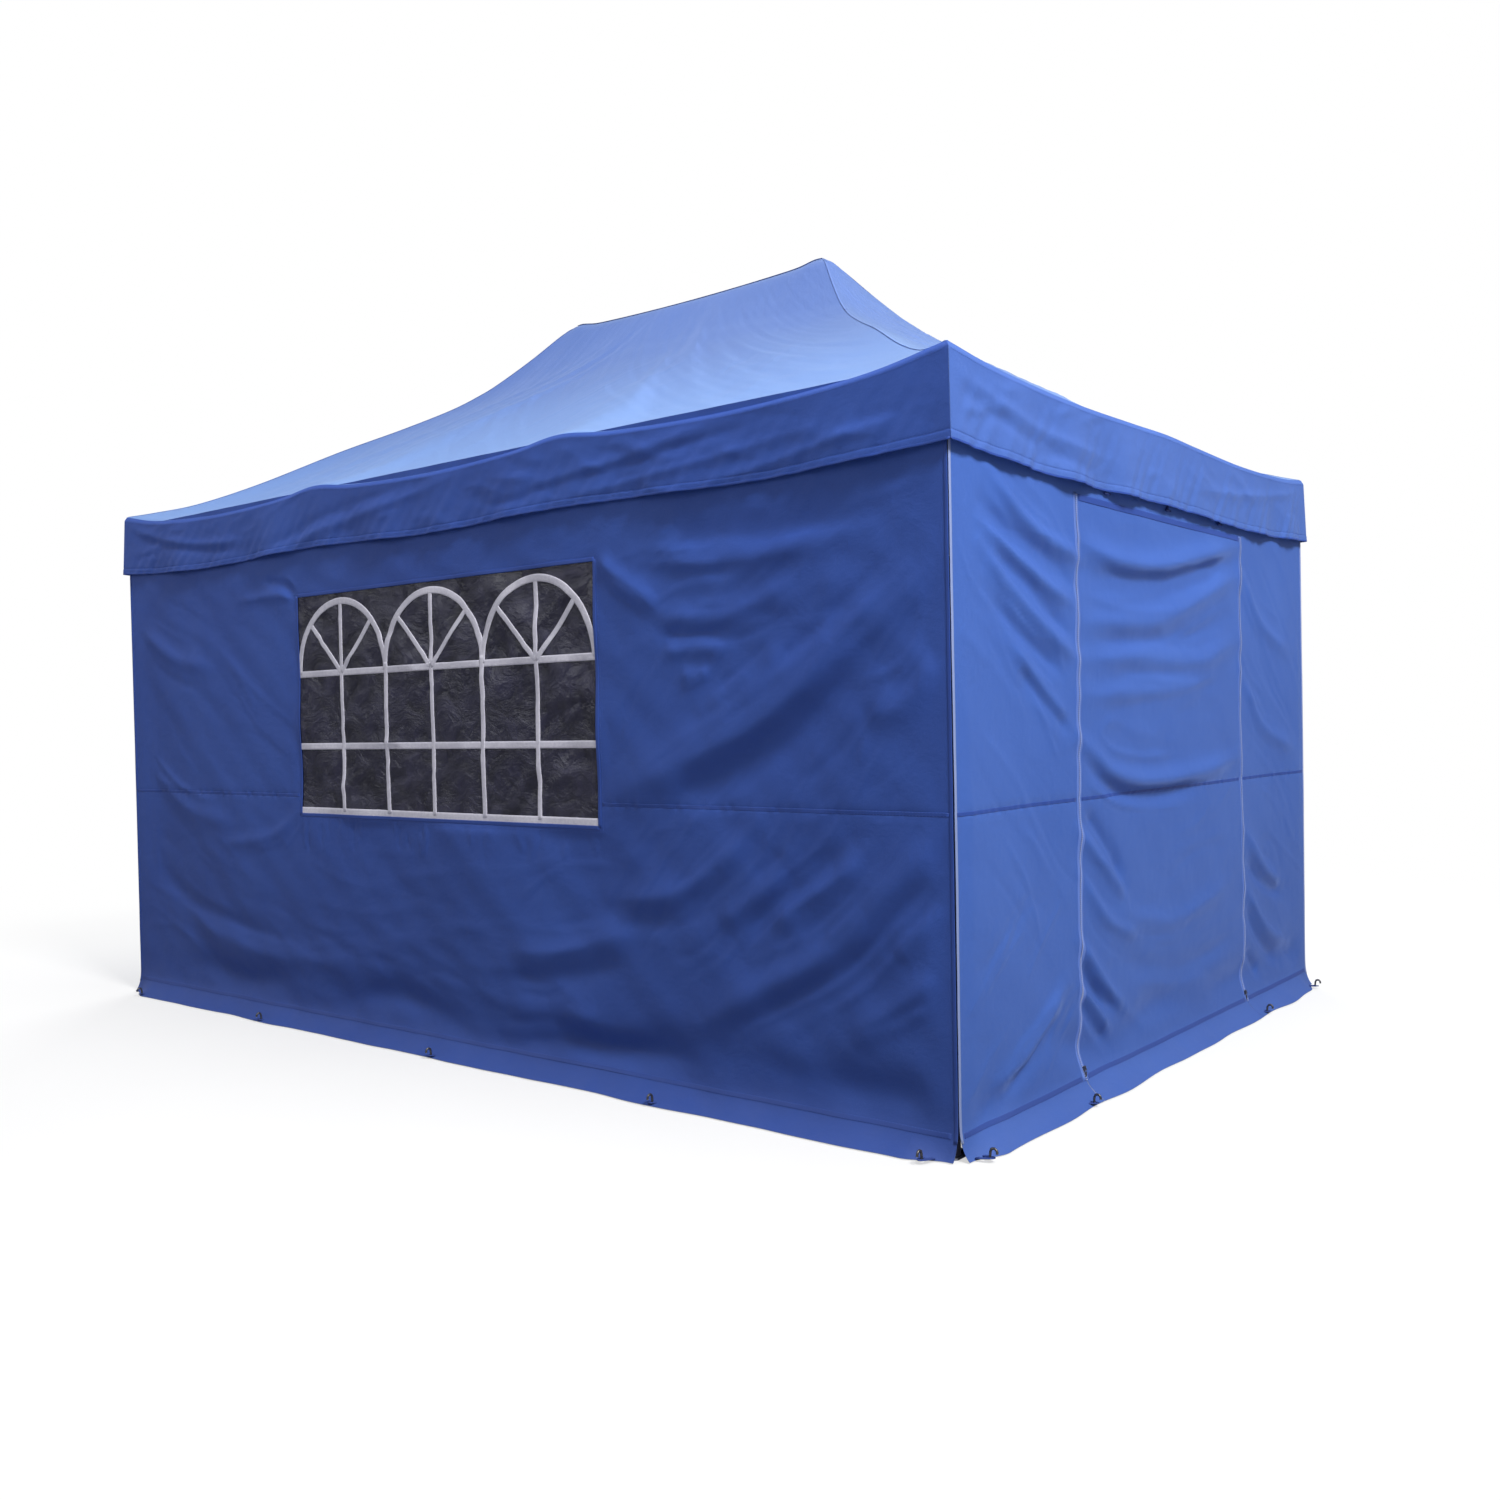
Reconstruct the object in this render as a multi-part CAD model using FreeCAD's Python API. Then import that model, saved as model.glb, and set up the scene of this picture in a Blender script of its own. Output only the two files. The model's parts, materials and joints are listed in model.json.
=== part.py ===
import FreeCAD, Part
import math
import os

# Pop up gazebo, 4.5 x 3 m class: a folding steel truss frame, a two-peak hip roof canopy and side walls.
# Millimetres. +X runs along the long side (right), +Y along the short side (back), +Z up.
# The origin is the centre of the footprint, on the ground. The window wall is at -Y, the door at +X.

Vec = FreeCAD.Vector
AXIS_X, AXIS_Y = Vec(1, 0, 0), Vec(0, 1, 0)
X_SIDES = (("left", -1), ("right", 1))
Y_SIDES = (("front", -1), ("back", 1))
LEVELS = (("upper", 1), ("lower", -1))

# ------------------------------------------------------------------ frame layout
LONG_BAYS, SHORT_BAYS = 3, 2
LEG_X = 2200.0              # leg centre, half the long side
CORNER_OFFSET = 55.0        # leg centre to the truss pivots on a corner bracket
TEE_OFFSET = 25.0           # middle of the short side to the side truss pivots
PIVOT_X = LEG_X - CORNER_OFFSET
BAY = 2 * PIVOT_X / LONG_BAYS
PIVOT_Y = SHORT_BAYS * BAY / 2 + TEE_OFFSET
LEG_Y = PIVOT_Y + CORNER_OFFSET
TRUSS_H = 540.0             # height between the upper and lower truss pivots
UPPER_Z = 2195.0            # height of the upper truss pivots
LOWER_Z = UPPER_Z - TRUSS_H
PIVOT_Z = {"upper": UPPER_Z, "lower": LOWER_Z}
RIDGE_Y = -19.0             # mid plane of the ridge truss, in front of the peak poles

# scissor bars
BAR_L = math.hypot(BAY, TRUSS_H)    # pivot to pivot
BAR_W, BAR_T = 25.0, 12.5   # depth in the truss plane, thickness
BAR_WALL = 1.0
BAR_OVER = 15.0             # bar past its end pivots
BAR_OFF = 8.0               # bar centre to the truss mid plane
PLUG_T = 3.0
SPACER_R, SPACER_T = 8.0, 3.1

# bolts and bracket ears, which lie in the truss mid plane between the bars
BOLT_R, BOLT_HOLE_R = 4.0, 4.1
HEAD_R, HEAD_T = 7.0, 2.8
HEAD_FACE = BAR_OFF + BAR_T / 2 + 0.4   # truss mid plane to the inner face of a bolt head
NUT_R, NUT_T = 6.0, 3.0
LUG_HALF = 1.5              # half the ear thickness
LUG_R = 14.0

os.makedirs("parts", exist_ok=True)


# ------------------------------------------------------------------ helpers
def box(x0, x1, y0, y1, z0, z1):
    """Box between two values on each axis; x and y may come in either order."""
    x0, x1 = sorted((x0, x1))
    y0, y1 = sorted((y0, y1))
    return Part.makeBox(x1 - x0, y1 - y0, z1 - z0, Vec(x0, y0, z0))


def rod(start, end, radius):
    axis = end - start
    return Part.makeCylinder(radius, axis.Length, start, axis)


def edges_of_length(shape, length):
    return [e for e in shape.Edges if abs(e.Length - length) < 1e-6]


def fuse(shapes):
    return shapes[0].fuse(shapes[1:]).removeSplitter()


def place(shape, origin, x_dir, y_dir):
    """Carries a shape from its own axes to origin, with x along x_dir and y along y_dir."""
    z_dir = x_dir.cross(y_dir)
    matrix = FreeCAD.Matrix(x_dir.x, y_dir.x, z_dir.x, origin.x,
                            x_dir.y, y_dir.y, z_dir.y, origin.y,
                            x_dir.z, y_dir.z, z_dir.z, origin.z, 0, 0, 0, 1)
    placed = shape.copy()
    placed.Placement = FreeCAD.Placement(matrix).multiply(placed.Placement)
    return placed


def save(name, shapes):
    solids = [solid for shape in shapes for solid in shape.Solids]
    piece = solids[0] if len(solids) == 1 else Part.makeCompound(solids)
    piece.exportStep("parts/%s.step" % name)


def ear_bolt(pivot, normal):
    """Bolt of an ear with one bar, on the normal side, and the nut on the other side."""
    return fuse([rod(pivot - normal * (LUG_HALF + NUT_T), pivot + normal * HEAD_FACE, BOLT_R),
                 rod(pivot + normal * HEAD_FACE, pivot + normal * (HEAD_FACE + HEAD_T), HEAD_R),
                 rod(pivot - normal * (LUG_HALF + NUT_T), pivot - normal * LUG_HALF, NUT_R)])


def hub_bolt(pivot, normal):
    """Bolt of an ear with a bar on each side."""
    return fuse([rod(pivot - normal * HEAD_FACE, pivot + normal * HEAD_FACE, BOLT_R),
                 rod(pivot + normal * HEAD_FACE, pivot + normal * (HEAD_FACE + HEAD_T), HEAD_R),
                 rod(pivot - normal * (HEAD_FACE + HEAD_T), pivot - normal * HEAD_FACE, HEAD_R)])


def lug_disc(x, y, z, axis):
    """Round end of an ear, about its pivot."""
    pivot = Vec(x, y, z)
    return rod(pivot - axis * LUG_HALF, pivot + axis * LUG_HALF, LUG_R)


def lug_box(x0, x1, y0, y1, z):
    """Straight part of an ear, as tall as its round end."""
    return box(x0, x1, y0, y1, z - LUG_R, z + LUG_R)


# ------------------------------------------------------------------ scissor trusses
def bar(bolt_places):
    """Scissor bar along +x from pivot to pivot, with its centre plane at y 0.
    bolt_places: where it carries a bolt through to its partner on the -y side."""
    half_t, half_w = BAR_T / 2, BAR_W / 2
    x_min, x_max = -BAR_OVER, BAR_L + BAR_OVER

    def core(x0, x1):
        return box(x0, x1, -half_t + BAR_WALL, half_t - BAR_WALL, -half_w + BAR_WALL, half_w - BAR_WALL)

    tube = box(x_min, x_max, -half_t, half_t, -half_w, half_w).cut(core(x_min - 1, x_max + 1))
    outer_edges = [e for e in edges_of_length(tube, BAR_L + 2 * BAR_OVER)
                   if abs(abs(e.CenterOfMass.y) - half_t) < 1e-6]
    tube = tube.makeFillet(1.0, outer_edges)
    for x in (0.0, BAR_L / 2, BAR_L):
        radius = BOLT_R if x in bolt_places else BOLT_HOLE_R
        tube = tube.cut(rod(Vec(x, -half_t - 1, 0), Vec(x, half_t + 1, 0), radius))
    plugs = [core(x_min, x_min + PLUG_T), core(x_max - PLUG_T, x_max)]

    bolts = []
    near, far = half_t, -BAR_OFF - HEAD_FACE
    for x in bolt_places:
        bolts.append(fuse([
            rod(Vec(x, near + HEAD_T, 0), Vec(x, far - HEAD_T, 0), BOLT_R),
            rod(Vec(x, near, 0), Vec(x, near + HEAD_T, 0), HEAD_R),
            rod(Vec(x, far, 0), Vec(x, far - HEAD_T, 0), HEAD_R),
            rod(Vec(x, -half_t, 0), Vec(x, -half_t - SPACER_T, 0), SPACER_R)]))
    return [tube] + plugs + bolts


def truss(name, count, start, along, normal, gap=0.0, bare_joints=False):
    """Row of scissor bays from the upper pivot start, with the rising bars on the normal side.
    gap: bracket width between bays. bare_joints: bar meets bar between bays, with no bracket."""
    for k in range(count):
        high_start = start + along * (k * (BAY + gap))
        low_start = high_start - Vec(0, 0, TRUSS_H)
        high_end = high_start + along * BAY
        low_end = low_start + along * BAY
        bolt_places = [BAR_L / 2]
        if bare_joints and k > 0:
            bolt_places.append(0.0)
        if bare_joints and k < count - 1:
            bolt_places.append(BAR_L)
        bars = (("rising", bolt_places, low_start, high_end, 1),
                ("falling", [], high_start, low_end, -1))
        for kind, places, first, last, side in bars:
            direction = (last - first).normalize()
            origin = first + normal * (side * BAR_OFF)
            save("%s_truss_%d_%s" % (name, k + 1, kind),
                 [place(shape, origin, direction, normal) for shape in bar(places)])


# ------------------------------------------------------------------ legs and sliders
OUTER_HALF, OUTER_WALL = 20.0, 1.2      # outer leg tube, half width and wall
OUTER_Z0, OUTER_Z1 = 560.0, 2232.0
COLLAR_WALL, COLLAR_DOWN = 3.5, 35.0    # corner bracket collar
COLLAR_HALF = OUTER_HALF + COLLAR_WALL
BRACKET_EAR_REACH = OUTER_HALF + 0.5    # leg centre to the root of the ears
CAP_T = 6.0
LOW_COLLAR_WALL, LOW_COLLAR_H = 5.0, 40.0
INNER_HALF, INNER_WALL = 17.0, 1.2      # inner leg tube
INNER_Z1 = 1100.0
BUTTON_Z, BUTTON_R = 580.0, 5.0         # leg height button
LEG_HOLE_PITCH, LEG_HOLE_COUNT = 135.0, 5
FOOT_OUT, FOOT_IN, FOOT_T = 28.0, 72.0, 5.0
PEG_HOLE_R = 5.5
PEG_HOLE_X = (5.0, 55.0)    # from the leg centre towards the middle of the long side
PEG_HOLE_Y = 52.0           # and towards the middle of the short side
SLIDER_HALF, SLIDER_BORE = 27.0, 20.8   # half widths
SLIDER_DOWN, SLIDER_UP = 60.0, 22.0     # from the lower pivots
KNOB_Z = LOWER_Z - 42.0
KNOB_PIN_R, KNOB_R = 6.0, 10.0


def square_tube(leg_x, leg_y, half, wall, z0, z1, corner):
    def block(half_width, low, high, radius):
        solid = box(leg_x - half_width, leg_x + half_width, leg_y - half_width, leg_y + half_width, low, high)
        return solid.makeFillet(radius, edges_of_length(solid, high - low))

    return block(half, z0, z1, corner).cut(block(half - wall, z0 - 1, z1 + 1, max(corner - wall, 0.4)))


def leg_rod(side_x, side_y, z, near, far, radius):
    """Rod along the long side; near and far run from the leg centre towards the middle."""
    y = side_y * LEG_Y
    return rod(Vec(side_x * (LEG_X - near), y, z), Vec(side_x * (LEG_X - far), y, z), radius)


def corner_ears(side_x, side_y, z, reach):
    """Two ears of a corner bracket, one along each side of the gazebo."""
    leg_x, leg_y = side_x * LEG_X, side_y * LEG_Y
    pivot_x, pivot_y = side_x * PIVOT_X, side_y * PIVOT_Y
    return [lug_box(pivot_x, leg_x - side_x * reach, leg_y - LUG_HALF, leg_y + LUG_HALF, z),
            lug_disc(pivot_x, leg_y, z, AXIS_Y),
            lug_box(leg_x - LUG_HALF, leg_x + LUG_HALF, pivot_y, leg_y - side_y * reach, z),
            lug_disc(leg_x, pivot_y, z, AXIS_X)]


def corner_bolts(side_x, side_y, level):
    """Bolts of the two ears. level: 1 for the upper pivots, -1 for the lower."""
    z = UPPER_Z if level > 0 else LOWER_Z
    turn = side_x * side_y * level
    return [ear_bolt(Vec(side_x * PIVOT_X, side_y * LEG_Y, z), AXIS_Y * turn),
            ear_bolt(Vec(side_x * LEG_X, side_y * PIVOT_Y, z), AXIS_X * turn)]


def upper_leg(side_x, side_y):
    """Outer leg tube with its corner bracket, top cap and bottom collar."""
    leg_x, leg_y = side_x * LEG_X, side_y * LEG_Y
    hole = leg_rod(side_x, side_y, BUTTON_Z, 16.9, 30, BUTTON_R + 0.1)
    tube = square_tube(leg_x, leg_y, OUTER_HALF, OUTER_WALL, OUTER_Z0, OUTER_Z1, 2.5).cut(hole)
    collar = square_tube(leg_x, leg_y, COLLAR_HALF, COLLAR_WALL, UPPER_Z - COLLAR_DOWN, OUTER_Z1, 3.0)
    bracket = fuse([collar] + corner_ears(side_x, side_y, UPPER_Z, BRACKET_EAR_REACH))
    bracket = bracket.cut(box(leg_x - OUTER_HALF, leg_x + OUTER_HALF, leg_y - OUTER_HALF, leg_y + OUTER_HALF,
                              UPPER_Z - COLLAR_DOWN - 5, OUTER_Z1 + 1))
    cap = box(leg_x - COLLAR_HALF, leg_x + COLLAR_HALF, leg_y - COLLAR_HALF, leg_y + COLLAR_HALF,
              OUTER_Z1, OUTER_Z1 + CAP_T)
    cap = cap.makeFillet(3.0, [e for e in cap.Edges if e.BoundBox.ZMax > OUTER_Z1 + 0.1])
    low_collar = square_tube(leg_x, leg_y, OUTER_HALF + LOW_COLLAR_WALL, LOW_COLLAR_WALL,
                             OUTER_Z0, OUTER_Z0 + LOW_COLLAR_H, 4.0).cut(hole)
    return [tube, bracket, cap, low_collar] + corner_bolts(side_x, side_y, 1)


def lower_leg(side_x, side_y):
    """Inner leg tube with its height setting holes, and the foot plate."""
    leg_x, leg_y = side_x * LEG_X, side_y * LEG_Y
    tube = square_tube(leg_x, leg_y, INNER_HALF, INNER_WALL, FOOT_T, INNER_Z1, 2.0)
    for i in range(LEG_HOLE_COUNT):
        z = BUTTON_Z - i * LEG_HOLE_PITCH
        tube = tube.cut(leg_rod(side_x, side_y, z, 12, 22, BUTTON_R + 0.6))
    plate = box(leg_x + side_x * FOOT_OUT, leg_x - side_x * FOOT_IN,
                leg_y + side_y * FOOT_OUT, leg_y - side_y * FOOT_IN, 0, FOOT_T)
    plate = plate.makeFillet(10.0, edges_of_length(plate, FOOT_T))
    for offset in PEG_HOLE_X:
        x, y = leg_x - side_x * offset, leg_y - side_y * PEG_HOLE_Y
        plate = plate.cut(rod(Vec(x, y, -1), Vec(x, y, FOOT_T + 1), PEG_HOLE_R))
    return [tube, plate]


def slider(side_x, side_y):
    """Runs on the outer leg and carries the lower truss pivots."""
    body = square_tube(side_x * LEG_X, side_y * LEG_Y, SLIDER_HALF, SLIDER_HALF - SLIDER_BORE,
                       LOWER_Z - SLIDER_DOWN, LOWER_Z + SLIDER_UP, 5.0)
    body = body.cut(leg_rod(side_x, side_y, KNOB_Z, 19, 34, KNOB_PIN_R + 0.1))
    body = fuse([body] + corner_ears(side_x, side_y, LOWER_Z, SLIDER_BORE + 2))
    return [body] + corner_bolts(side_x, side_y, -1)


def slider_button(side_x, side_y):
    """Slider release knob, pulled away from the leg."""
    pin = leg_rod(side_x, side_y, KNOB_Z, 21.2, 34, KNOB_PIN_R)
    knob = leg_rod(side_x, side_y, KNOB_Z, 33, 40, KNOB_R)
    knob = knob.makeFillet(1.5, knob.Edges[:1] + knob.Edges[2:])    # all but the seam
    return [fuse([pin, knob])]


def leg_button(side_x, side_y):
    """Leg height button, pressed into the leg, with a rounded tip."""
    tip = 31
    button = leg_rod(side_x, side_y, BUTTON_Z, 19.2, tip, BUTTON_R)
    tip_x = side_x * (LEG_X - tip)
    return [button.makeFillet(2.0, [e for e in button.Edges if abs(e.CenterOfMass.x - tip_x) < 1e-6])]


# ------------------------------------------------------------------ tee brackets
TEE_WEB_HALF = 4.0
TEE_STEP_NEAR, TEE_STEP_FAR = 21.0, 28.0    # cross step, from the side truss mid plane inwards


def tee_bracket(side_x, level, z):
    """Joins the side truss bays and the ridge truss at the middle of a short side."""
    x, pivot_x = side_x * LEG_X, side_x * PIVOT_X
    near, far = x - side_x * TEE_STEP_NEAR, x - side_x * TEE_STEP_FAR
    body = fuse([lug_box(x - LUG_HALF, x + LUG_HALF, -TEE_OFFSET, TEE_OFFSET, z),
                 lug_disc(x, -TEE_OFFSET, z, AXIS_X),
                 lug_disc(x, TEE_OFFSET, z, AXIS_X),
                 lug_box(x, far, -TEE_WEB_HALF, TEE_WEB_HALF, z),
                 lug_box(near, far, RIDGE_Y - LUG_HALF, TEE_WEB_HALF, z),
                 lug_box(near, pivot_x, RIDGE_Y - LUG_HALF, RIDGE_Y + LUG_HALF, z),
                 lug_disc(pivot_x, RIDGE_Y, z, AXIS_Y)])
    turn = side_x * level
    return [body,
            ear_bolt(Vec(x, -TEE_OFFSET, z), AXIS_X * turn),
            ear_bolt(Vec(x, TEE_OFFSET, z), AXIS_X * -turn),
            ear_bolt(Vec(pivot_x, RIDGE_Y, z), AXIS_Y * -turn)]


# ------------------------------------------------------------------ peak hubs and peak poles
POLE_X = BAY / 2            # at the ridge truss joints
POLE_Y = 16.0
POLE_R, POLE_WALL = 12.5, 1.2
POLE_TOP = 3150.0
SLEEVE_R = 12.8
BLOCK_Y = 2 * POLE_Y        # back face of the blocks around the pole
HUB_HALF, CHEEK_INNER = 26.0, 19.0      # cheek faces, from the pole centre along X
CHEEK_BACK = 24.0
BRIDGE_Z0, BRIDGE_Z1 = 22.0, 32.0       # above the upper pivot
SLEEVE_Z0, SLEEVE_Z1 = -85.0, -45.0
SHELF_Z, SEAT_Z = -32.0, -22.0          # bottom and top of the pole's shelf, from the lower pivot
# half section of the pole cap: radius, height above the pole top
POLE_CAP = [(0, 0), (POLE_R, 0), (POLE_R, -5), (16, -5), (16, 6), (12.5, 12.5), (7, 16.5), (0, 18), (0, 0)]


def peak_hub(x):
    """An ear between the bars, a bridge over them, two cheeks and the sleeve the pole slides in."""
    z = UPPER_Z
    shapes = [lug_disc(x, RIDGE_Y, z, AXIS_Y),
              box(x - LUG_R, x + LUG_R, RIDGE_Y - LUG_HALF, RIDGE_Y + LUG_HALF, z, z + BRIDGE_Z1),
              box(x - HUB_HALF, x + HUB_HALF, RIDGE_Y - LUG_HALF, 0, z + BRIDGE_Z0, z + BRIDGE_Z1)]
    for y0, z0, z1 in ((-3, BRIDGE_Z0, BRIDGE_Z1), (0, SLEEVE_Z0, BRIDGE_Z0 + 1)):
        for side in (-1, 1):
            shapes.append(box(x + side * HUB_HALF, x + side * CHEEK_INNER, y0, CHEEK_BACK, z + z0, z + z1))
    shapes.append(box(x - HUB_HALF, x + HUB_HALF, 0, BLOCK_Y, z + SLEEVE_Z0, z + SLEEVE_Z1))
    bore = rod(Vec(x, POLE_Y, z + SLEEVE_Z0 - 15), Vec(x, POLE_Y, z + SLEEVE_Z1 + 15), SLEEVE_R)
    return [fuse(shapes).cut(bore), hub_bolt(Vec(x, RIDGE_Y, z), -AXIS_Y)]


def peak_pole(x):
    """Pole with the lower hub at its foot and the domed cap that carries the canopy."""
    z = LOWER_Z
    seat = z + SEAT_Z
    pole = Part.makeCylinder(POLE_R, POLE_TOP - seat, Vec(x, POLE_Y, seat))
    pole = pole.cut(Part.makeCylinder(POLE_R - POLE_WALL, POLE_TOP - seat + 2, Vec(x, POLE_Y, seat - 1)))
    foot = fuse([lug_disc(x, RIDGE_Y, z, AXIS_Y),
                 box(x - LUG_R, x + LUG_R, RIDGE_Y - LUG_HALF, RIDGE_Y + LUG_HALF, z + SHELF_Z, z),
                 box(x - 18, x + 18, RIDGE_Y - LUG_HALF, BLOCK_Y, z + SHELF_Z, seat),
                 box(x - 16, x + 16, 0.5, BLOCK_Y, seat - 1, z - 2)])
    foot = foot.cut(Part.makeCylinder(POLE_R, 60, Vec(x, POLE_Y, seat)))
    section = Part.makePolygon([Vec(radius, 0, POLE_TOP + height) for radius, height in POLE_CAP])
    cap = Part.Face(section).revolve(Vec(0, 0, 0), Vec(0, 0, 1), 360)
    cap.translate(Vec(x, POLE_Y, 0))
    return [pole, foot, cap, hub_bolt(Vec(x, RIDGE_Y, z), -AXIS_Y)]


# ------------------------------------------------------------------ cloth
CLOTH = 0.6                 # thickness
ROOF_X, ROOF_Y = 2245.0, 1545.0     # eave half sizes, outside
RIDGE_HALF = 745.0
PEAK_Z = 3203.0
VALANCE_Z = 1985.0
ROOF_DROP = 0.8             # inner roof surface below the outer one
# roof profile along a hip: share of the way from the eave to the peak, height
ROOF_PROFILE = [(0.0, 2262.0), (0.15, 2325.0), (0.45, 2566.0), (0.70, 2776.0), (0.82, 2918.0), (0.92, 3080.0)]
WALL_X, WALL_Y = 2239.0, 1540.0     # inner face of the side walls
WALL_Z0, WALL_Z1 = 9.0, 2215.0
WALL_END_GAP = 4.0          # wall end short of the corner
SKIRT = 55.0                # ground flap at the foot of each wall
WINDOW_X, WINDOW_Z0, WINDOW_Z1 = 862.0, 888.0, 1782.0
PANE_GAP = 1.0
DOOR_Y, DOOR_Z1 = 752.0, 1945.0
ZIP_GAP = 3.0
PULL_INSET, PULL_Z = 10.0, 72.0     # zip pulls, from the door opening's edge and above ground


def roof_solid(half_x, half_y, drop, z_bottom):
    """Closed hip roof block: rings of the roof profile above a straight valance."""
    def ring(share, z):
        x, y = half_x + (RIDGE_HALF - half_x) * share, half_y * (1 - share)
        return [Vec(-x, -y, z), Vec(x, -y, z), Vec(x, y, z), Vec(-x, y, z)]

    rings = [ring(0, z_bottom)] + [ring(share, z - drop) for share, z in ROOF_PROFILE]
    loops = [rings[0]]
    for low, high in zip(rings, rings[1:]):
        for i in range(4):
            j = (i + 1) % 4
            loops.append([low[i], low[j], high[j], high[i]])
    top = rings[-1]
    left, right = Vec(-RIDGE_HALF, 0, PEAK_Z - drop), Vec(RIDGE_HALF, 0, PEAK_Z - drop)
    loops += [[top[0], top[1], right, left], [top[1], top[2], right],
              [top[2], top[3], left, right], [top[3], top[0], left]]
    faces = [Part.Face(Part.makePolygon(loop + loop[:1])) for loop in loops]
    solid = Part.makeSolid(Part.makeShell(faces))
    if solid.Volume < 0:
        solid.reverse()
    return solid


def canopy():
    outer = roof_solid(ROOF_X, ROOF_Y, 0.0, VALANCE_Z)
    return [outer.cut(roof_solid(ROOF_X - CLOTH, ROOF_Y - CLOTH, ROOF_DROP, VALANCE_Z - 10))]


def long_wall(side):
    x, y = WALL_X - WALL_END_GAP, side * WALL_Y
    return fuse([box(-x, x, y, side * (WALL_Y + CLOTH), WALL_Z0, WALL_Z1),
                 box(-x, x, y, side * (WALL_Y + SKIRT), WALL_Z0, WALL_Z0 + CLOTH)])


def short_wall(side):
    x, y = side * WALL_X, WALL_Y - WALL_END_GAP
    return fuse([box(x, side * (WALL_X + CLOTH), -y, y, WALL_Z0, WALL_Z1),
                 box(x, side * (WALL_X + SKIRT), -y, y, WALL_Z0, WALL_Z0 + CLOTH)])


def wall_front():
    """Wall with the window pane as its own sheet in the opening."""
    wall = long_wall(-1).cut(box(-WINDOW_X, WINDOW_X, -WALL_Y - 5, -WALL_Y + 5, WINDOW_Z0, WINDOW_Z1))
    pane_x = WINDOW_X - PANE_GAP
    pane = box(-pane_x, pane_x, -WALL_Y, -WALL_Y - CLOTH, WINDOW_Z0 + PANE_GAP, WINDOW_Z1 - PANE_GAP)
    return [wall, pane]


def door_block(gap):
    """Block through the right wall and its flap, smaller than the door opening by gap."""
    return box(WALL_X - 5, WALL_X + SKIRT + 5, -DOOR_Y + gap, DOOR_Y - gap, 0, DOOR_Z1 - gap)


def door_panel():
    """Door cloth with a zip pull and its hanging tab near each side edge."""
    shapes = [short_wall(1).common(door_block(ZIP_GAP))]
    x, z = WALL_X + CLOTH, PULL_Z
    for side in (-1, 1):
        y = side * (DOOR_Y - PULL_INSET)
        shapes.append(box(x + 0.2, x + 3.2, y - 4, y + 4, z, z + 16))
        shapes.append(box(x + 0.6, x + 2.2, y - 3, y + 3, z - 32, z - 1))
    return shapes


# ------------------------------------------------------------------ build
for name, side in Y_SIDES:
    truss(name, LONG_BAYS, Vec(-PIVOT_X, side * LEG_Y, UPPER_Z), AXIS_X, AXIS_Y * side, bare_joints=True)
truss("ridge", LONG_BAYS, Vec(-PIVOT_X, RIDGE_Y, UPPER_Z), AXIS_X, -AXIS_Y)
for name, side in X_SIDES:
    truss(name, SHORT_BAYS, Vec(side * LEG_X, -PIVOT_Y, UPPER_Z), AXIS_Y, AXIS_X * side, gap=2 * TEE_OFFSET)

for y_name, side_y in Y_SIDES:
    for x_name, side_x in X_SIDES:
        for build in (upper_leg, lower_leg, slider, slider_button, leg_button):
            save("%s_%s_%s" % (build.__name__, y_name, x_name), build(side_x, side_y))

for name, side in X_SIDES:
    for level_name, level in LEVELS:
        save("tee_bracket_%s_%s" % (name, level_name), tee_bracket(side, level, PIVOT_Z[level_name]))
    save("peak_hub_%s_upper" % name, peak_hub(side * POLE_X))
    save("peak_pole_%s" % name, peak_pole(side * POLE_X))

save("canopy", canopy())
save("wall_front", wall_front())
save("wall_back", [long_wall(1)])
save("wall_left", [short_wall(-1)])
save("wall_right", [short_wall(1).cut(door_block(0))])
save("door_panel", door_panel())
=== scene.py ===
"""A pop-up gazebo with a hipped roof, four cloth walls, a window and a zipped door.

Metres, +Z up, ground at z = 0, centred on the origin. The long walls face -Y (front, with the
window) and +Y (back). The end walls face -X (left) and +X (right, with the door).
"""

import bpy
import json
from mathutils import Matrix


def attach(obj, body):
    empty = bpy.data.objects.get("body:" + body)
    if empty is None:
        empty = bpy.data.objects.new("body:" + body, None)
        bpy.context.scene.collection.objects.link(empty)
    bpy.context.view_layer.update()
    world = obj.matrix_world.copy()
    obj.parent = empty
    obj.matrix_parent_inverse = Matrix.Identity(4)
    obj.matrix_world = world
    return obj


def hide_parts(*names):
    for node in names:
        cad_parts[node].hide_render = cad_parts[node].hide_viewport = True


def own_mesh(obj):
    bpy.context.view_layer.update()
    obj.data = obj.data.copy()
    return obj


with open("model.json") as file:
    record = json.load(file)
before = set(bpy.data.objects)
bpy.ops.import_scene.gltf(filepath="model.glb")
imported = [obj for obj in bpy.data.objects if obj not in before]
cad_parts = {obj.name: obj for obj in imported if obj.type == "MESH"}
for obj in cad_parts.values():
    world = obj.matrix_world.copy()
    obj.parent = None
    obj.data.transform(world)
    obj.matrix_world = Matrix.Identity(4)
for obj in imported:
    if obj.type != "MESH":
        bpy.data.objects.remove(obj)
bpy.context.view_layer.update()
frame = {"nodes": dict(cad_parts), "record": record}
import json
import math

import bpy
import numpy as np
from mathutils import Matrix, Vector

scene = bpy.context.scene

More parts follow.
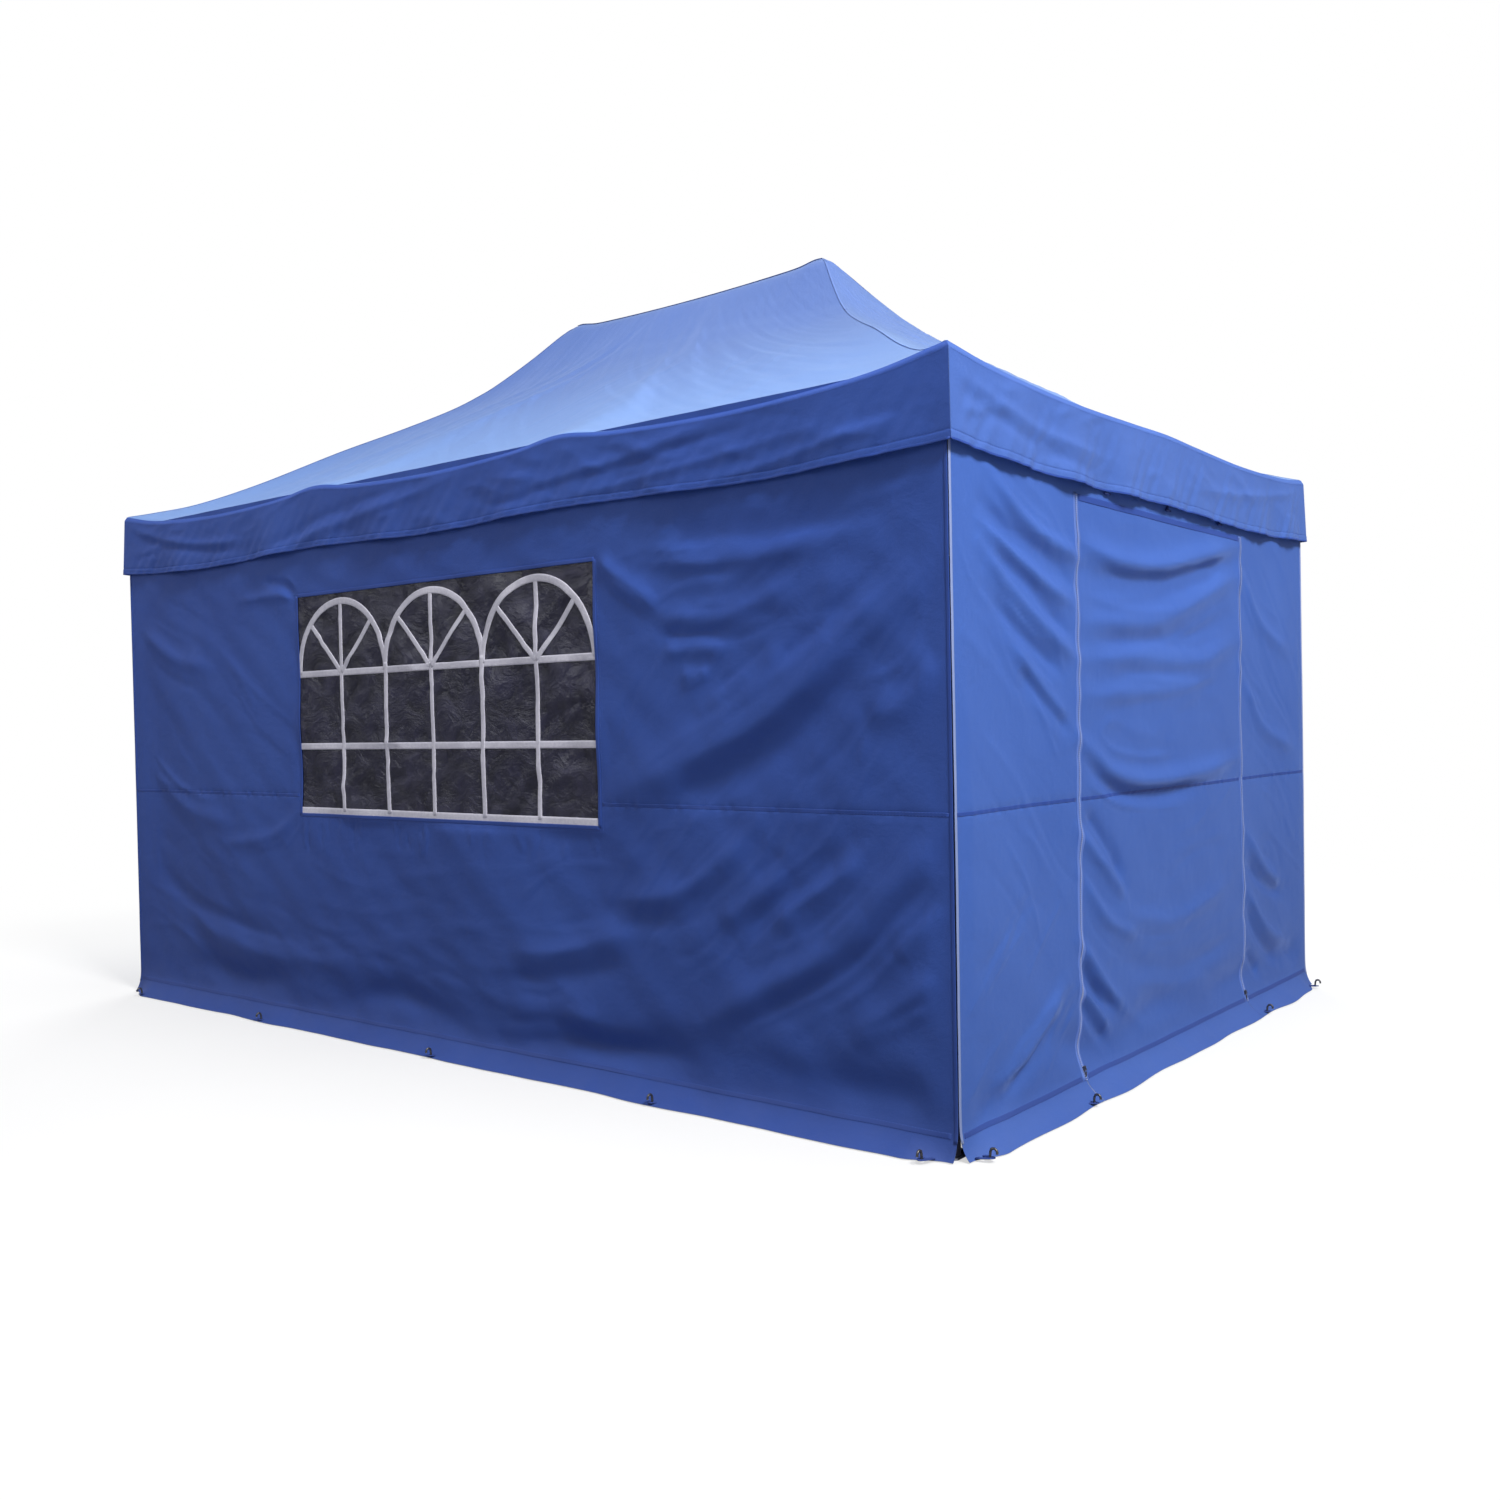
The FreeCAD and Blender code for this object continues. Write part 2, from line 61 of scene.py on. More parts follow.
BASE_X, BASE_Y = 2.2395, 1.5410      # base planes of the end walls and of the long walls
WALL_X, WALL_Y = 2.2362, 1.5395      # side edges of the long walls and of the end walls
EAVE_X, EAVE_Y = 2.245, 1.545
WALL_TOP = 2.212                     # behind the valance
SEAM_Z = .962                        # horizontal seam of every wall
HEM_Z = .068                         # band above the ground flap
WIN_X, WIN_BOTTOM, WIN_TOP = .862, .888, 1.782
LEAF_Y, ZIP_Y, DOOR_Y = .7485, .75, .7515   # door leaf, middle of the gap, opening
DOOR_TOP = 1.945
RIDGE_X, RIDGE_Z = .745, 3.203       # half length and height of the ridge
CAP_X = .715                         # pole caps under the two peaks


class Side:
    """One side of the tent. "along" is x on the long sides and y on the ends."""

    def __init__(self, name, long, sign, seed, body):
        self.name, self.long, self.sign, self.seed, self.body = name, long, sign, seed, body
        self.axis = 0 if long else 1
        self.base = BASE_Y if long else BASE_X
        self.edge = WALL_X if long else WALL_Y
        self.eave = EAVE_X if long else EAVE_Y
        self.leg = 2.2 if long else 1.51
        self.tangent = np.eye(3)[self.axis]
        self.outward = sign * np.eye(3)[1 - self.axis]

    def place(self, along, out, z):
        """Points from their place along the side, distance from the centre, and height."""
        points = np.zeros(np.shape(z) + (3,))
        points[..., self.axis] = along
        points[..., 1 - self.axis] = self.sign * out
        points[..., 2] = z
        return points


FRONT = Side("front", True, -1, 101, "upper_leg_front_left")
BACK = Side("back", True, 1, 103, "upper_leg_back_left")
LEFT = Side("left", False, -1, 104, "tee_bracket_left_upper")
RIGHT = Side("right", False, 1, 102, "tee_bracket_right_upper")
SIDES = (FRONT, BACK, LEFT, RIGHT)
UP = np.array([0, 0, 1.])


# ------------------------------------------------------------------ curves and fields
def unit(vectors):
    return vectors / (np.linalg.norm(vectors, axis=-1, keepdims=True) + 1e-12)


def curve(points, steps=7):
    """Catmull-Rom through the points. Two points give a straight line."""
    points = np.asarray(points, float)
    if len(points) == 2:
        t = np.linspace(0, 1, steps)[:, None]
        return points[0] + t * (points[1] - points[0])
    knots = np.vstack([2 * points[0] - points[1], points, 2 * points[-1] - points[-2]])
    spans = []
    for i in range(1, len(knots) - 2):
        a, b, c, d = knots[i - 1:i + 3]
        t = np.linspace(0, 1, steps, endpoint=i == len(knots) - 3)[:, None]
        spans.append(.5 * (2 * b + (c - a) * t + (2 * a - 5 * b + 4 * c - d) * t ** 2
                           + (3 * b - a - 3 * c + d) * t ** 3))
    return np.vstack(spans)


def spline(x, table):
    """Smooth interpolation of a table."""
    fine = curve(table, 12)
    return np.interp(x, fine[:, 0], fine[:, 1])


def smooth(x, start, end):
    t = np.clip((x - start) / (end - start), 0, 1)
    return t * t * (3 - 2 * t)


def waves(x, seed, count, shortest, longest):
    """A smooth random curve of about unit height, from waves of lengths in a range."""
    rng = np.random.default_rng(seed)
    total = 0
    for _ in range(count):
        k = 2 * math.pi / rng.uniform(shortest, longest)
        total = total + rng.uniform(.5, 1) * np.sin(k * x + rng.uniform(0, 6.283))
    return total / math.sqrt(count * .3)


def fold_heights(along, z, folds):
    """Sum of folds (height, half width, points). A fold fades towards its two ends."""
    shape = along.shape
    along, z = along.ravel(), z.ravel()
    total = np.zeros(len(along))
    for height, width, points in folds:
        line = curve(points)
        low, high = line.min(0) - 3 * width, line.max(0) + 3 * width
        near = np.nonzero((along > low[0]) & (along < high[0]) & (z > low[1]) & (z < high[1]))[0]
        if not len(near):
            continue
        place = np.stack([along[near], z[near]], 1)
        step = line[1:] - line[:-1]
        length = np.hypot(step[:, 0], step[:, 1]) + 1e-9
        start = np.concatenate([[0], np.cumsum(length)])
        best, part = np.full(len(place), 1e9), np.zeros(len(place))
        for i in range(len(step)):
            t = np.clip(((place - line[i]) @ step[i]) / length[i] ** 2, 0, 1)
            gap = np.hypot(place[:, 0] - line[i, 0] - t * step[i, 0],
                           place[:, 1] - line[i, 1] - t * step[i, 1])
            closer = gap < best
            best[closer] = gap[closer]
            part[closer] = (start[i] + t[closer] * length[i]) / start[-1]
        end = np.clip(np.minimum(part, 1 - part) / .22, 0, 1)
        total[near] += (height * np.exp(-(best / width) ** 1.7)
                        * (.25 + .75 * end * end * (3 - 2 * end)))
    return total.reshape(shape)


class Field:
    """The folds of one sheet, sampled once on a fine grid and read back between its points.

    Fold heights come in millimetres and are read back in metres.
    """

    def __init__(self, folds, half, z_range, step):
        self.low, self.low_z, self.step = -half, z_range[0], step
        self.columns = int(2 * half / step) + 2
        self.rows = int((z_range[1] - z_range[0]) / step) + 2
        along, z = np.meshgrid(self.low + step * np.arange(self.columns),
                               self.low_z + step * np.arange(self.rows))
        self.grid = .001 * fold_heights(along, z, folds)

    def __call__(self, along, z):
        column = np.clip((along - self.low) / self.step, 0, self.columns - 1.001)
        row = np.clip((z - self.low_z) / self.step, 0, self.rows - 1.001)
        i, j = column.astype(int), row.astype(int)
        x, y = column - i, row - j
        grid = self.grid
        return ((grid[j, i] * (1 - x) + grid[j, i + 1] * x) * (1 - y)
                + (grid[j + 1, i] * (1 - x) + grid[j + 1, i + 1] * x) * y)


def tilt(degrees):
    """Fold angle that is mirrored about the middle of a sheet."""
    return lambda along, z: -degrees if along < 0 else degrees


def fine_folds(seed, count, along_range, z_range, angle, lengths, heights, widths):
    """Random folds. angle(along, z) is in degrees, and heights are in millimetres."""
    rng = np.random.default_rng(seed)
    folds = []
    for _ in range(count):
        along, z = rng.uniform(*along_range), rng.uniform(*z_range)
        turn = math.radians(angle(along, z) + rng.normal(0, 7))
        reach = rng.uniform(*lengths) / 2
        bend = rng.normal(0, .16) * reach
        x, y = math.cos(turn) * reach, math.sin(turn) * reach
        folds.append((rng.uniform(*heights) * (1 if rng.random() < .62 else -.8),
                      rng.uniform(*widths),
                      [(along - x, z - y), (along - y / reach * bend, z + x / reach * bend),
                       (along + x, z + y)]))
    return folds


# ------------------------------------------------------------------ wall folds
# Each fold: height in mm, half width, points (x, z).
FRONT_FOLDS = [
    (26, .075, [(2.211, 1.672), (1.938, 1.446), (1.588, 1.259), (1.299, 1.116), (.937, .992)]),
    (-24, .070, [(2.155, 1.584), (1.949, 1.426), (1.638, 1.167), (1.15, .985)]),
    (12, .050, [(2.217, 1.413), (2.105, 1.287), (1.946, 1.231)]),
    (9, .035, [(1.152, 1.573), (1.449, 1.564), (1.737, 1.655)]),
    (8, .028, [(1.164, 1.464), (1.447, 1.46)]),
    (-6, .022, [(1.160, 1.520), (1.440, 1.512)]),
    (7, .026, [(1.249, 1.374), (1.376, 1.39)]),
    (11, .038, [(1.345, 1.264), (1.578, 1.382), (1.683, 1.459)]),
    (13, .032, [(.866, 1.794), (1.05, 1.678), (1.167, 1.593)]),
    (-10, .045, [(1.16, 1.843), (1.456, 1.813), (1.981, 1.827)]),
    (10, .045, [(1.054, 1.81), (1.454, 1.751), (1.98, 1.779)]),
    (20, .050, [(2.217, .912), (2.066, .769), (1.906, .609), (1.784, .518), (1.622, .438),
                (1.44, .343), (1.299, .268)]),
    (-13, .045, [(2.215, .800), (2.066, .690), (1.906, .530), (1.700, .400), (1.44, .270)]),
    (11, .035, [(2.225, .712), (2.043, .538)]),
    (13, .040, [(2.192, .524), (2.091, .438), (1.955, .339), (1.879, .268)]),
    (13, .042, [(1.943, .85), (1.855, .766), (1.673, .645), (1.602, .575)]),
    (-9, .035, [(1.903, .88), (1.770, .776), (1.600, .665), (1.45, .56)]),
    (10, .036, [(1.677, .783), (1.558, .703), (1.384, .586)]),
    (12, .045, [(1.539, .907), (1.389, .778), (1.206, .68), (.916, .632)]),
    (-9, .040, [(1.45, .76), (1.25, .61), (.95, .57)]),
    (11, .055, [(.372, .408), (.689, .447), (.913, .508), (1.068, .551)]),
    (-10, .045, [(.369, .331), (.687, .362), (.953, .43)]),
    (9, .045, [(.366, .231), (.606, .226), (.861, .225)]),
    (-10, .045, [(.361, .098), (.829, .138), (1.372, .142)]),
    (-8, .018, [(-.88, 1.79), (-.95, 1.84), (-1.10, 1.87)]),
    (7, .022, [(-.87, 1.76), (-.99, 1.80), (-1.30, 1.80)]),
    (7, .030, [(-.90, .88), (-1.10, .78), (-1.45, .74)]),
    (8, .040, [(-2.15, 1.72), (-1.85, 1.58), (-1.55, 1.52)]),
    (8, .045, [(-2.15, 1.10), (-1.80, .90), (-1.35, .82)]),
    (-7, .045, [(-2.10, .60), (-1.60, .42), (-1.00, .36)]),
    (7, .050, [(-1.90, .42), (-1.20, .28), (-.40, .30)]),
]
# Each fold: height in mm, half width, points (y, z).
RIGHT_FOLDS = [
    (17, .042, [(-.739, 1.790), (-.472, 1.745), (-.172, 1.748), (.163, 1.794), (.725, 1.897)]),
    (-15, .042, [(-.706, 1.704), (-.377, 1.676), (.045, 1.705), (.668, 1.835)]),
    (13, .028, [(-1.328, 1.940), (-1.174, 1.846), (-1.024, 1.787), (-.813, 1.744),
                (-.711, 1.722)]),
    (-10, .024, [(-1.366, 1.844), (-1.177, 1.765), (-.947, 1.703), (-.766, 1.644)]),
    (11, .024, [(-1.381, 1.792), (-1.074, 1.664), (-.788, 1.582)]),
    (-9, .024, [(-1.33, 1.713), (-1.045, 1.598), (-.792, 1.486)]),
    (11, .026, [(-1.383, 1.730), (-1.152, 1.587), (-.954, 1.486), (-.755, 1.405)]),
    (-8, .024, [(-1.35, 1.60), (-1.10, 1.47), (-.85, 1.36)]),
    (10, .028, [(-1.203, 1.452), (-1.023, 1.327), (-.811, 1.198)]),
    (-9, .024, [(-1.157, 1.378), (-.959, 1.268), (-.80, 1.174)]),
    (10, .040, [(-.717, 1.531), (-.282, 1.543), (.041, 1.592), (.531, 1.73), (.748, 1.773)]),
    (-6, .035, [(-.700, 1.470), (-.282, 1.485), (.241, 1.53), (.700, 1.63)]),
    (9, .040, [(-.704, 1.408), (-.286, 1.425), (.221, 1.42), (.523, 1.475), (.739, 1.521)]),
    (8, .036, [(-.742, 1.293), (-.289, 1.307), (.171, 1.329), (.391, 1.379)]),
    (14, .034, [(-.765, 1.166), (-.625, 1.092), (-.497, 1.031), (-.198, .994), (.254, 1.008),
                (.693, 1.05)]),
    (-10, .030, [(-.748, 1.108), (-.495, .985), (-.197, .945), (.30, .95)]),
    (-10, .026, [(-.717, .929), (-.529, .791), (-.411, .66)]),
    (10, .026, [(-.774, .868), (-.571, .719), (-.413, .609)]),
    (9, .028, [(-.75, .72), (-.56, .55), (-.30, .46)]),
    (-9, .026, [(-.749, .448), (-.662, .337), (-.468, .227)]),
    (10, .026, [(-.765, .509), (-.546, .309), (-.427, .236)]),
    (-7, .022, [(-.77, .332), (-.683, .235), (-.552, .141)]),
    (8, .022, [(-.763, .36), (-.551, .187)]),
    (10, .032, [(-.856, .392), (-1.061, .258), (-1.371, .145)]),
    (-8, .028, [(-.90, .309), (-1.121, .189), (-1.283, .11)]),
    (-8, .030, [(.768, .633), (1.021, .503), (1.25, .44)]),
    (9, .028, [(.768, .753), (1.021, .573), (1.25, .49)]),
    (-9, .032, [(.763, .439), (.949, .276), (1.204, .151)]),
    (9, .030, [(.763, .52), (1.00, .33), (1.30, .22)]),
    (-8, .028, [(.768, .263), (.944, .138)]),
    (9, .034, [(.76, 1.80), (.98, 1.60), (1.35, 1.48)]),
    (8, .034, [(.76, 1.40), (1.00, 1.18), (1.40, 1.06)]),
    (6, .040, [(-.60, .60), (.00, .48), (.60, .56)]),
    (-6, .040, [(-.50, .40), (.10, .30), (.65, .34)]),
]


def hanging_folds(seed, half):
    """Folds of a wall hung from its corners: swags at the top, pulls to the foot corners."""
    rng = np.random.default_rng(seed)
    draw = rng.uniform
    folds = []
    for sign in (-1, 1):
        for _ in range(7):
            z = draw(.9, 1.9)
            run = draw(.5, 1.0) * half
            folds.append((draw(8, 17), draw(.032, .06),
                          [(sign * (half - .05), z),
                           (sign * (half - .45 * run), z - .16 - draw(0, .1)),
                           (sign * (half - run), z - .30 - draw(0, .15))]))
            folds.append((-draw(7, 12), draw(.03, .05),
                          [(sign * (half - .08), z - .09), (sign * (half - .45 * run), z - .26),
                           (sign * (half - run), z - .42)]))
        for _ in range(4):
            z = draw(.25, .75)
            folds.append((draw(7, 12), draw(.03, .05),
                          [(sign * (half - .1), z), (sign * (half - .5), z - .14),
                           (sign * (half - 1.0), max(z - .22, .1))]))
    for i in range(5):
        x = draw(-.6, .6) * half
        folds.append((draw(6, 11), draw(.04, .06),
                      [(x - .55, 1.84 - .05 * i), (x, 1.76 - .06 * i), (x + .5, 1.83 - .05 * i)]))
    return folds


def companions(folds, seed):
    """Two thinner folds beside each main one."""
    rng = np.random.default_rng(seed)
    beside = []
    for height, width, points in folds:
        line = curve(points, 4)
        tangent = unit(np.gradient(line, axis=0))
        across = np.stack([-tangent[:, 1], tangent[:, 0]], 1)
        for _ in range(2):
            start, end = sorted((rng.uniform(0, .45), rng.uniform(.55, 1)))
            i = int(start * (len(line) - 1))
            j = max(int(end * (len(line) - 1)), i + 2)
            shifted = (line + across * rng.choice([-1, 1]) * (width * rng.uniform(1.0, 2.2))
                       + across * np.linspace(0, rng.normal(0, .03), len(line))[:, None])
            beside.append((abs(height) * rng.uniform(.6, 1.2) * .34 * rng.choice([1, 1, -1]),
                           max(width * rng.uniform(.28, .42), .010), shifted[i:j + 1]))
    return beside


def main_folds(folds, gain, seed):
    """Main folds with their height raised by gain, and their companions."""
    return [(height * gain, width, points) for height, width, points in folds] \
        + companions(folds, seed)


# Fine folds: seed, count, range along, range in z, angle, lengths, heights in mm, half widths.
WALL_FOLDS = {
    FRONT: main_folds(FRONT_FOLDS, gain=1.35, seed=15)
    + fine_folds(11, 34, (-2.0, -1.05), (.2, 1.8), lambda x, z: -28 if z > 1 else -16,
                 (.35, .9), (.8, 2.0), (.014, .030))
    + fine_folds(12, 70, (1.05, 2.1), (.3, 1.85),
                 lambda x, z: 46 - 26 * (z > 1.5) if z > .6 else 33,
                 (.30, .85), (1.0, 3.0), (.012, .028))
    + fine_folds(13, 40, (-.95, .95), (.15, .78), lambda x, z: 14 * x,
                 (.35, .9), (.8, 2.4), (.014, .034))
    + fine_folds(14, 26, (-.85, .85), (.78, .87), lambda x, z: 90,
                 (.05, .14), (2, 4), (.007, .013)),
    RIGHT: main_folds(RIGHT_FOLDS, gain=1.75, seed=25)
    + fine_folds(21, 44, (-1.4, -.85), (.2, 1.85), lambda y, z: -40 if z > .6 else 38,
                 (.25, .6), (1.0, 3.0), (.010, .022))
    + fine_folds(22, 46, (-.68, .68), (.15, 1.85),
                 lambda y, z: 10 * y - (30 if y < -.3 and z < 1 else 0),
                 (.25, .7), (.8, 2.4), (.012, .028))
    + fine_folds(23, 34, (.85, 1.4), (.2, 1.85), lambda y, z: -36,
                 (.25, .6), (1.0, 2.6), (.010, .024)),
    BACK: main_folds(hanging_folds(seed=31, half=2.2), gain=1.3, seed=35)
    + fine_folds(32, 90, (-2.0, 2.0), (.2, 1.8), tilt(26), (.30, .9), (.8, 2.4), (.012, .030)),
    LEFT: main_folds(hanging_folds(seed=41, half=1.5), gain=1.3, seed=45)
    + fine_folds(42, 70, (-1.4, 1.4), (.2, 1.8), tilt(30), (.25, .7), (.8, 2.4), (.010, .028)),
}
WALL_FIELD = {side: Field(folds, side.leg + .04, (0, 2.23), .006)
              for side, folds in WALL_FOLDS.items()}


def wall_offset(side, along, z):
    """How far out a wall stands from its base plane."""
    half, seed, reach = side.leg, side.seed, np.abs(along)
    out = WALL_FIELD[side](along, z)
    # soft billow
    out += (.006 * waves(along + .35 * z, seed, 4, .7, 1.7)
            * np.sin(np.clip(z / 1.9, 0, 1) * math.pi))
    out += .0010 * waves(along * .7 + z * .8, seed + 20, 4, .15, .40)
    # the horizontal seam pulls in a little and puckers
    seam = np.exp(-((z - SEAM_Z) / .012) ** 2)
    out -= seam * (.0022 + .0008 * waves(along, seed + 40, 4, .03, .07))
    # near the legs the wall stays on its edge line
    edge = smooth(reach, half - .16, half - .01)
    out *= 1 - .85 * np.where(out < 0, edge, smooth(reach, half - .06, half + .015))
    # limits: hardly inward beside the frame, hardly outward behind the valance
    inner = -.0085 - .040 * smooth(-z, -1.60, -1.45) * (1 - smooth(reach, half - .25, half - .12))
    outer = .034 * (1 - smooth(z, 1.90, 1.985)) + .001
    out = np.where(out < 0, inner * np.tanh(out / inner), out)
    out = np.where(out > 0, outer * np.tanh(out / outer), out)
    if side is FRONT:   # flatter at the window
        flat = (1 - smooth(reach, .86, .93)) * smooth(z, .84, .88) * (1 - smooth(z, 1.79, 1.85))
        out = out * (1 - .75 * flat) + .0016 * flat * waves(along + z, seed + 60, 3, .25, .6)
    # inward fold above the ground flap, then the flap
    fold_z = .17 + .02 * waves(along, seed + 70, 3, .6, 1.6)
    out = out - (.020 * np.exp(-((z - fold_z) / .06) ** 2)
                 * (.65 + .25 * waves(along, seed + 80, 3, .5, 1.4)) * (1 - edge))
    flap = .078 + .0035 * waves(along, seed + 90, 4, .35, 1.1)
    rise = np.clip(z - .004, 0, 1)
    return out + (flap * (.55 * np.exp(-rise / .016) + .45 * np.exp(-(rise / .050) ** 2))
                  * (1 - .62 * smooth(reach, half - .12, half + .02)))


def wall_point(side, along, z):
    return side.place(along, side.base + wall_offset(side, along, z), z)


# ------------------------------------------------------------------ roof shape
def mirrored(half_table):
    return [(-x, z) for x, z in half_table[:0:-1]] + half_table


# Eave height by side length: (along, z), from the middle outwards.
EAVE_LONG = mirrored([(0, 2.186), (.45, 2.200), (CAP_X, 2.226), (1.0, 2.200), (1.48, 2.190),
                      (1.95, 2.214), (EAVE_X, 2.262)])
EAVE_END = mirrored([(0, 2.234), (.3, 2.228), (.77, 2.222), (1.25, 2.236), (EAVE_Y, 2.262)])
# Part of the rise reached at each part of the way up, on the hips and mid-slope.
HIP = [(0, 0), (.06, .022), (.153, .066), (.285, .168), (.462, .333), (.596, .447), (.709, .552),
       (.778, .634), (.823, .700), (.893, .818), (.962, .945), (1, 1)]
MIDDLE = [(0, 0), (.06, .034), (.153, .098), (.285, .212), (.462, .373), (.596, .500),
          (.709, .612), (.778, .692), (.823, .748), (.893, .850), (.962, .957), (1, 1)]

# Folds on the slopes, as on the walls, with the part of the way up in place of z.
ROOF_FOLDS_LONG = (
    [(5, .05, [(x * .32, .98), (x * .62, .55), (x * .95, .06)])
     for x in (-2.3, -1.9, -1.45, -1.0, 1.0, 1.5, 1.95, 2.3)]
    + [(-4, .05, [(x * .34, .95), (x * .6, .55), (x * .9, .08)])
       for x in (-2.1, -1.25, 1.2, 1.75, 2.15)]
    + [(-7, .045, [(2.2, .10), (1.85, .16), (1.45, .19)]),
       (8, .035, [(2.23, .17), (1.95, .24), (1.6, .30)]),
       (6, .03, [(2.2, .28), (2.0, .36), (1.8, .42)]),
       (5, .025, [(2.22, .36), (2.05, .46), (1.92, .52)])]
    + fine_folds(51, 90, (-2.1, 2.1), (.06, .6), tilt(22), (.12, .5), (1.2, 3.2), (.014, .03)))
ROOF_FOLDS_END = (
    [(5, .04, [(y * .1, .95), (y * .5, .5), (y * .95, .06)])
     for y in (-1.5, -1.1, -.6, 0, .55, 1.05, 1.5)]
    + fine_folds(52, 70, (-1.5, 1.5), (.05, .6), tilt(30), (.12, .45), (1.2, 3.2), (.014, .03)))
ROOF_FIELD_LONG = Field(ROOF_FOLDS_LONG, 2.25, (0, 1), .007)
ROOF_FIELD_END = Field(ROOF_FOLDS_END, 1.55, (0, 1), .007)


def roof_point(side, along, rise):
    """along: metres along the eave, rise: 0 at the eave to 1 at the ridge or peak."""
    corner = np.abs(along) / side.eave
    eave_z = spline(along, EAVE_LONG if side.long else EAVE_END)
    part = spline(rise, HIP) * corner ** 2 + spline(rise, MIDDLE) * (1 - corner ** 2)
    # billow between the bars, and the folds
    fade = np.sin(np.clip(rise, 0, 1) * math.pi) ** .7 * (1 - corner ** 6)
    field = ROOF_FIELD_LONG if side.long else ROOF_FIELD_END
    relief = (field(along, rise) * (1 if side in (FRONT, RIGHT) else -.8)
              + .004 * waves(along * .8 + rise, side.seed + 200, 4, .5, 1.3)
              + .0012 * waves(along + 2.2 * rise, side.seed + 210, 3, .10, .22))
    z = eave_z + (RIDGE_Z - eave_z) * part + relief * fade
    if side.long:
        x = along * (1 - rise) + along / EAVE_X * RIDGE_X * rise
        y = EAVE_Y * (1 - rise)
    else:
        x = EAVE_X * (1 - rise) + RIDGE_X * rise
        y = along * (1 - rise)
    # the ridge is rounded, and the pole caps push the cloth up a little
    z = z - .010 * np.exp(-(y / .035) ** 2) * (1 if side.long else smooth(rise, .97, 1))
    z = z + .012 * np.exp(-((np.abs(x) - CAP_X) / .07) ** 2 - (y / .06) ** 2)
    if not side.long:
        return side.place(y, x, z)
    # the ridge sags between the caps
    z = z - .016 * np.exp(-(y / .5) ** 2) * np.clip(1 - (x / .70) ** 2, 0, 1)
    return side.place(x, y, z)


# ------------------------------------------------------------------ valance shape
def valance_folds(seed, half, folds=()):
    fine = fine_folds(seed, int(30 * half), (-half, half), (.1, .95), tilt(60),
                      (.15, .5), (1, 3), (.012, .03))
    return [(height, width * 2.6, points) for height, width, points in [*folds, *fine]]


# Folds of the valances: height in mm, half width before widening, points (along, drop).
VALANCE_FOLDS = {
    FRONT: valance_folds(65, 2.2, [
        (-6, .028, [(-1.10, .95), (-.55, .45), (-.10, .12)]),
        (7, .030, [(-.95, .98), (-.40, .55), (.15, .15)]),
        (6, .028, [(.70, .92), (1.20, .70), (1.75, .45)]),
        (-6, .028, [(.30, .85), (.95, .55), (1.60, .20)]),
        (7, .030, [(.55, .70), (1.00, .45), (1.40, .10)]),
        (6, .028, [(1.35, .95), (1.75, .75), (2.15, .60)]),
        (-5, .026, [(-2.15, .30), (-1.70, .60), (-1.25, .80)]),
        (6, .028, [(-2.20, .15), (-1.75, .45), (-1.20, .62)])]),
    RIGHT: valance_folds(65, 1.5, [
        (6, .028, [(-1.50, .25), (-1.05, .50), (-.50, .60)]),
        (-6, .028, [(-1.45, .45), (-1.0, .70), (-.45, .85)]),
        (6, .028, [(.20, .65), (.80, .45), (1.45, .20)])]),
    BACK: valance_folds(64, 2.2),
    LEFT: valance_folds(64, 1.5),
}
VALANCE_FIELD = {side: Field(folds, 2.25, (0, 1), .008) for side, folds in VALANCE_FOLDS.items()}
# Lower edge of the valances: (along, z).
HEM_LONG = [(-EAVE_X, 1.992), (-1.9, 1.972), (-1.48, 1.962), (-.715, 1.978), (0, 1.960),
            (.715, 1.976), (1.48, 1.962), (1.9, 1.974), (EAVE_X, 1.992)]
HEM_END = [(-EAVE_Y, 1.992), (-1.2, 1.976), (-.77, 1.968), (0, 1.976), (.77, 1.966),
           (1.2, 1.976), (EAVE_Y, 1.992)]


def valance_point(side, along, drop):
    """drop: 0 at the eave, 1 at the hem."""
    half, seed = side.eave, side.seed
    corner = smooth(half - np.abs(along), 0, .10)
    top = roof_point(side, along, np.zeros_like(along))[..., 2]
    z = top + (spline(along, HEM_LONG if side.long else HEM_END) - top) * drop
    flare = .007 * smooth(drop, 0, .07) + .009 * drop
    out = flare + corner * (
        VALANCE_FIELD[side](along, drop) * smooth(drop, 0, .12)
        + .0045 * waves(along, seed + 300, 5, .25, .8) * drop
        + .0015 * waves(along + .2 * drop, seed + 310, 4, .06, .16) * drop)
    out = np.maximum(out, .004 * smooth(drop, 0, .05))
    # hem: a folded band
    out = out + .0012 * smooth(drop, .905, .915) - .0012 * np.exp(-((drop - .905) / .010) ** 2)
    return side.place(along * (1 + flare / half), half_depth(side) + out, z)


def half_depth(side):
    """Distance of a side's eave from the centre."""
    return EAVE_Y if side.long else EAVE_X


# ------------------------------------------------------------------ meshes
def grid_normals(points, outward):
    normals = np.cross(np.gradient(points, axis=1), np.gradient(points, axis=0))
    length = np.linalg.norm(normals, axis=2, keepdims=True)
    normals = normals / np.maximum(length, 1e-12)
    normals = np.where((normals * outward).sum(-1, keepdims=True) < 0, -normals, normals)
    normals[length[..., 0] < 1e-9] = outward
    return normals


def link(mesh):
    piece = bpy.data.objects.new(mesh.name, mesh)
    scene.collection.objects.link(piece)
    return piece


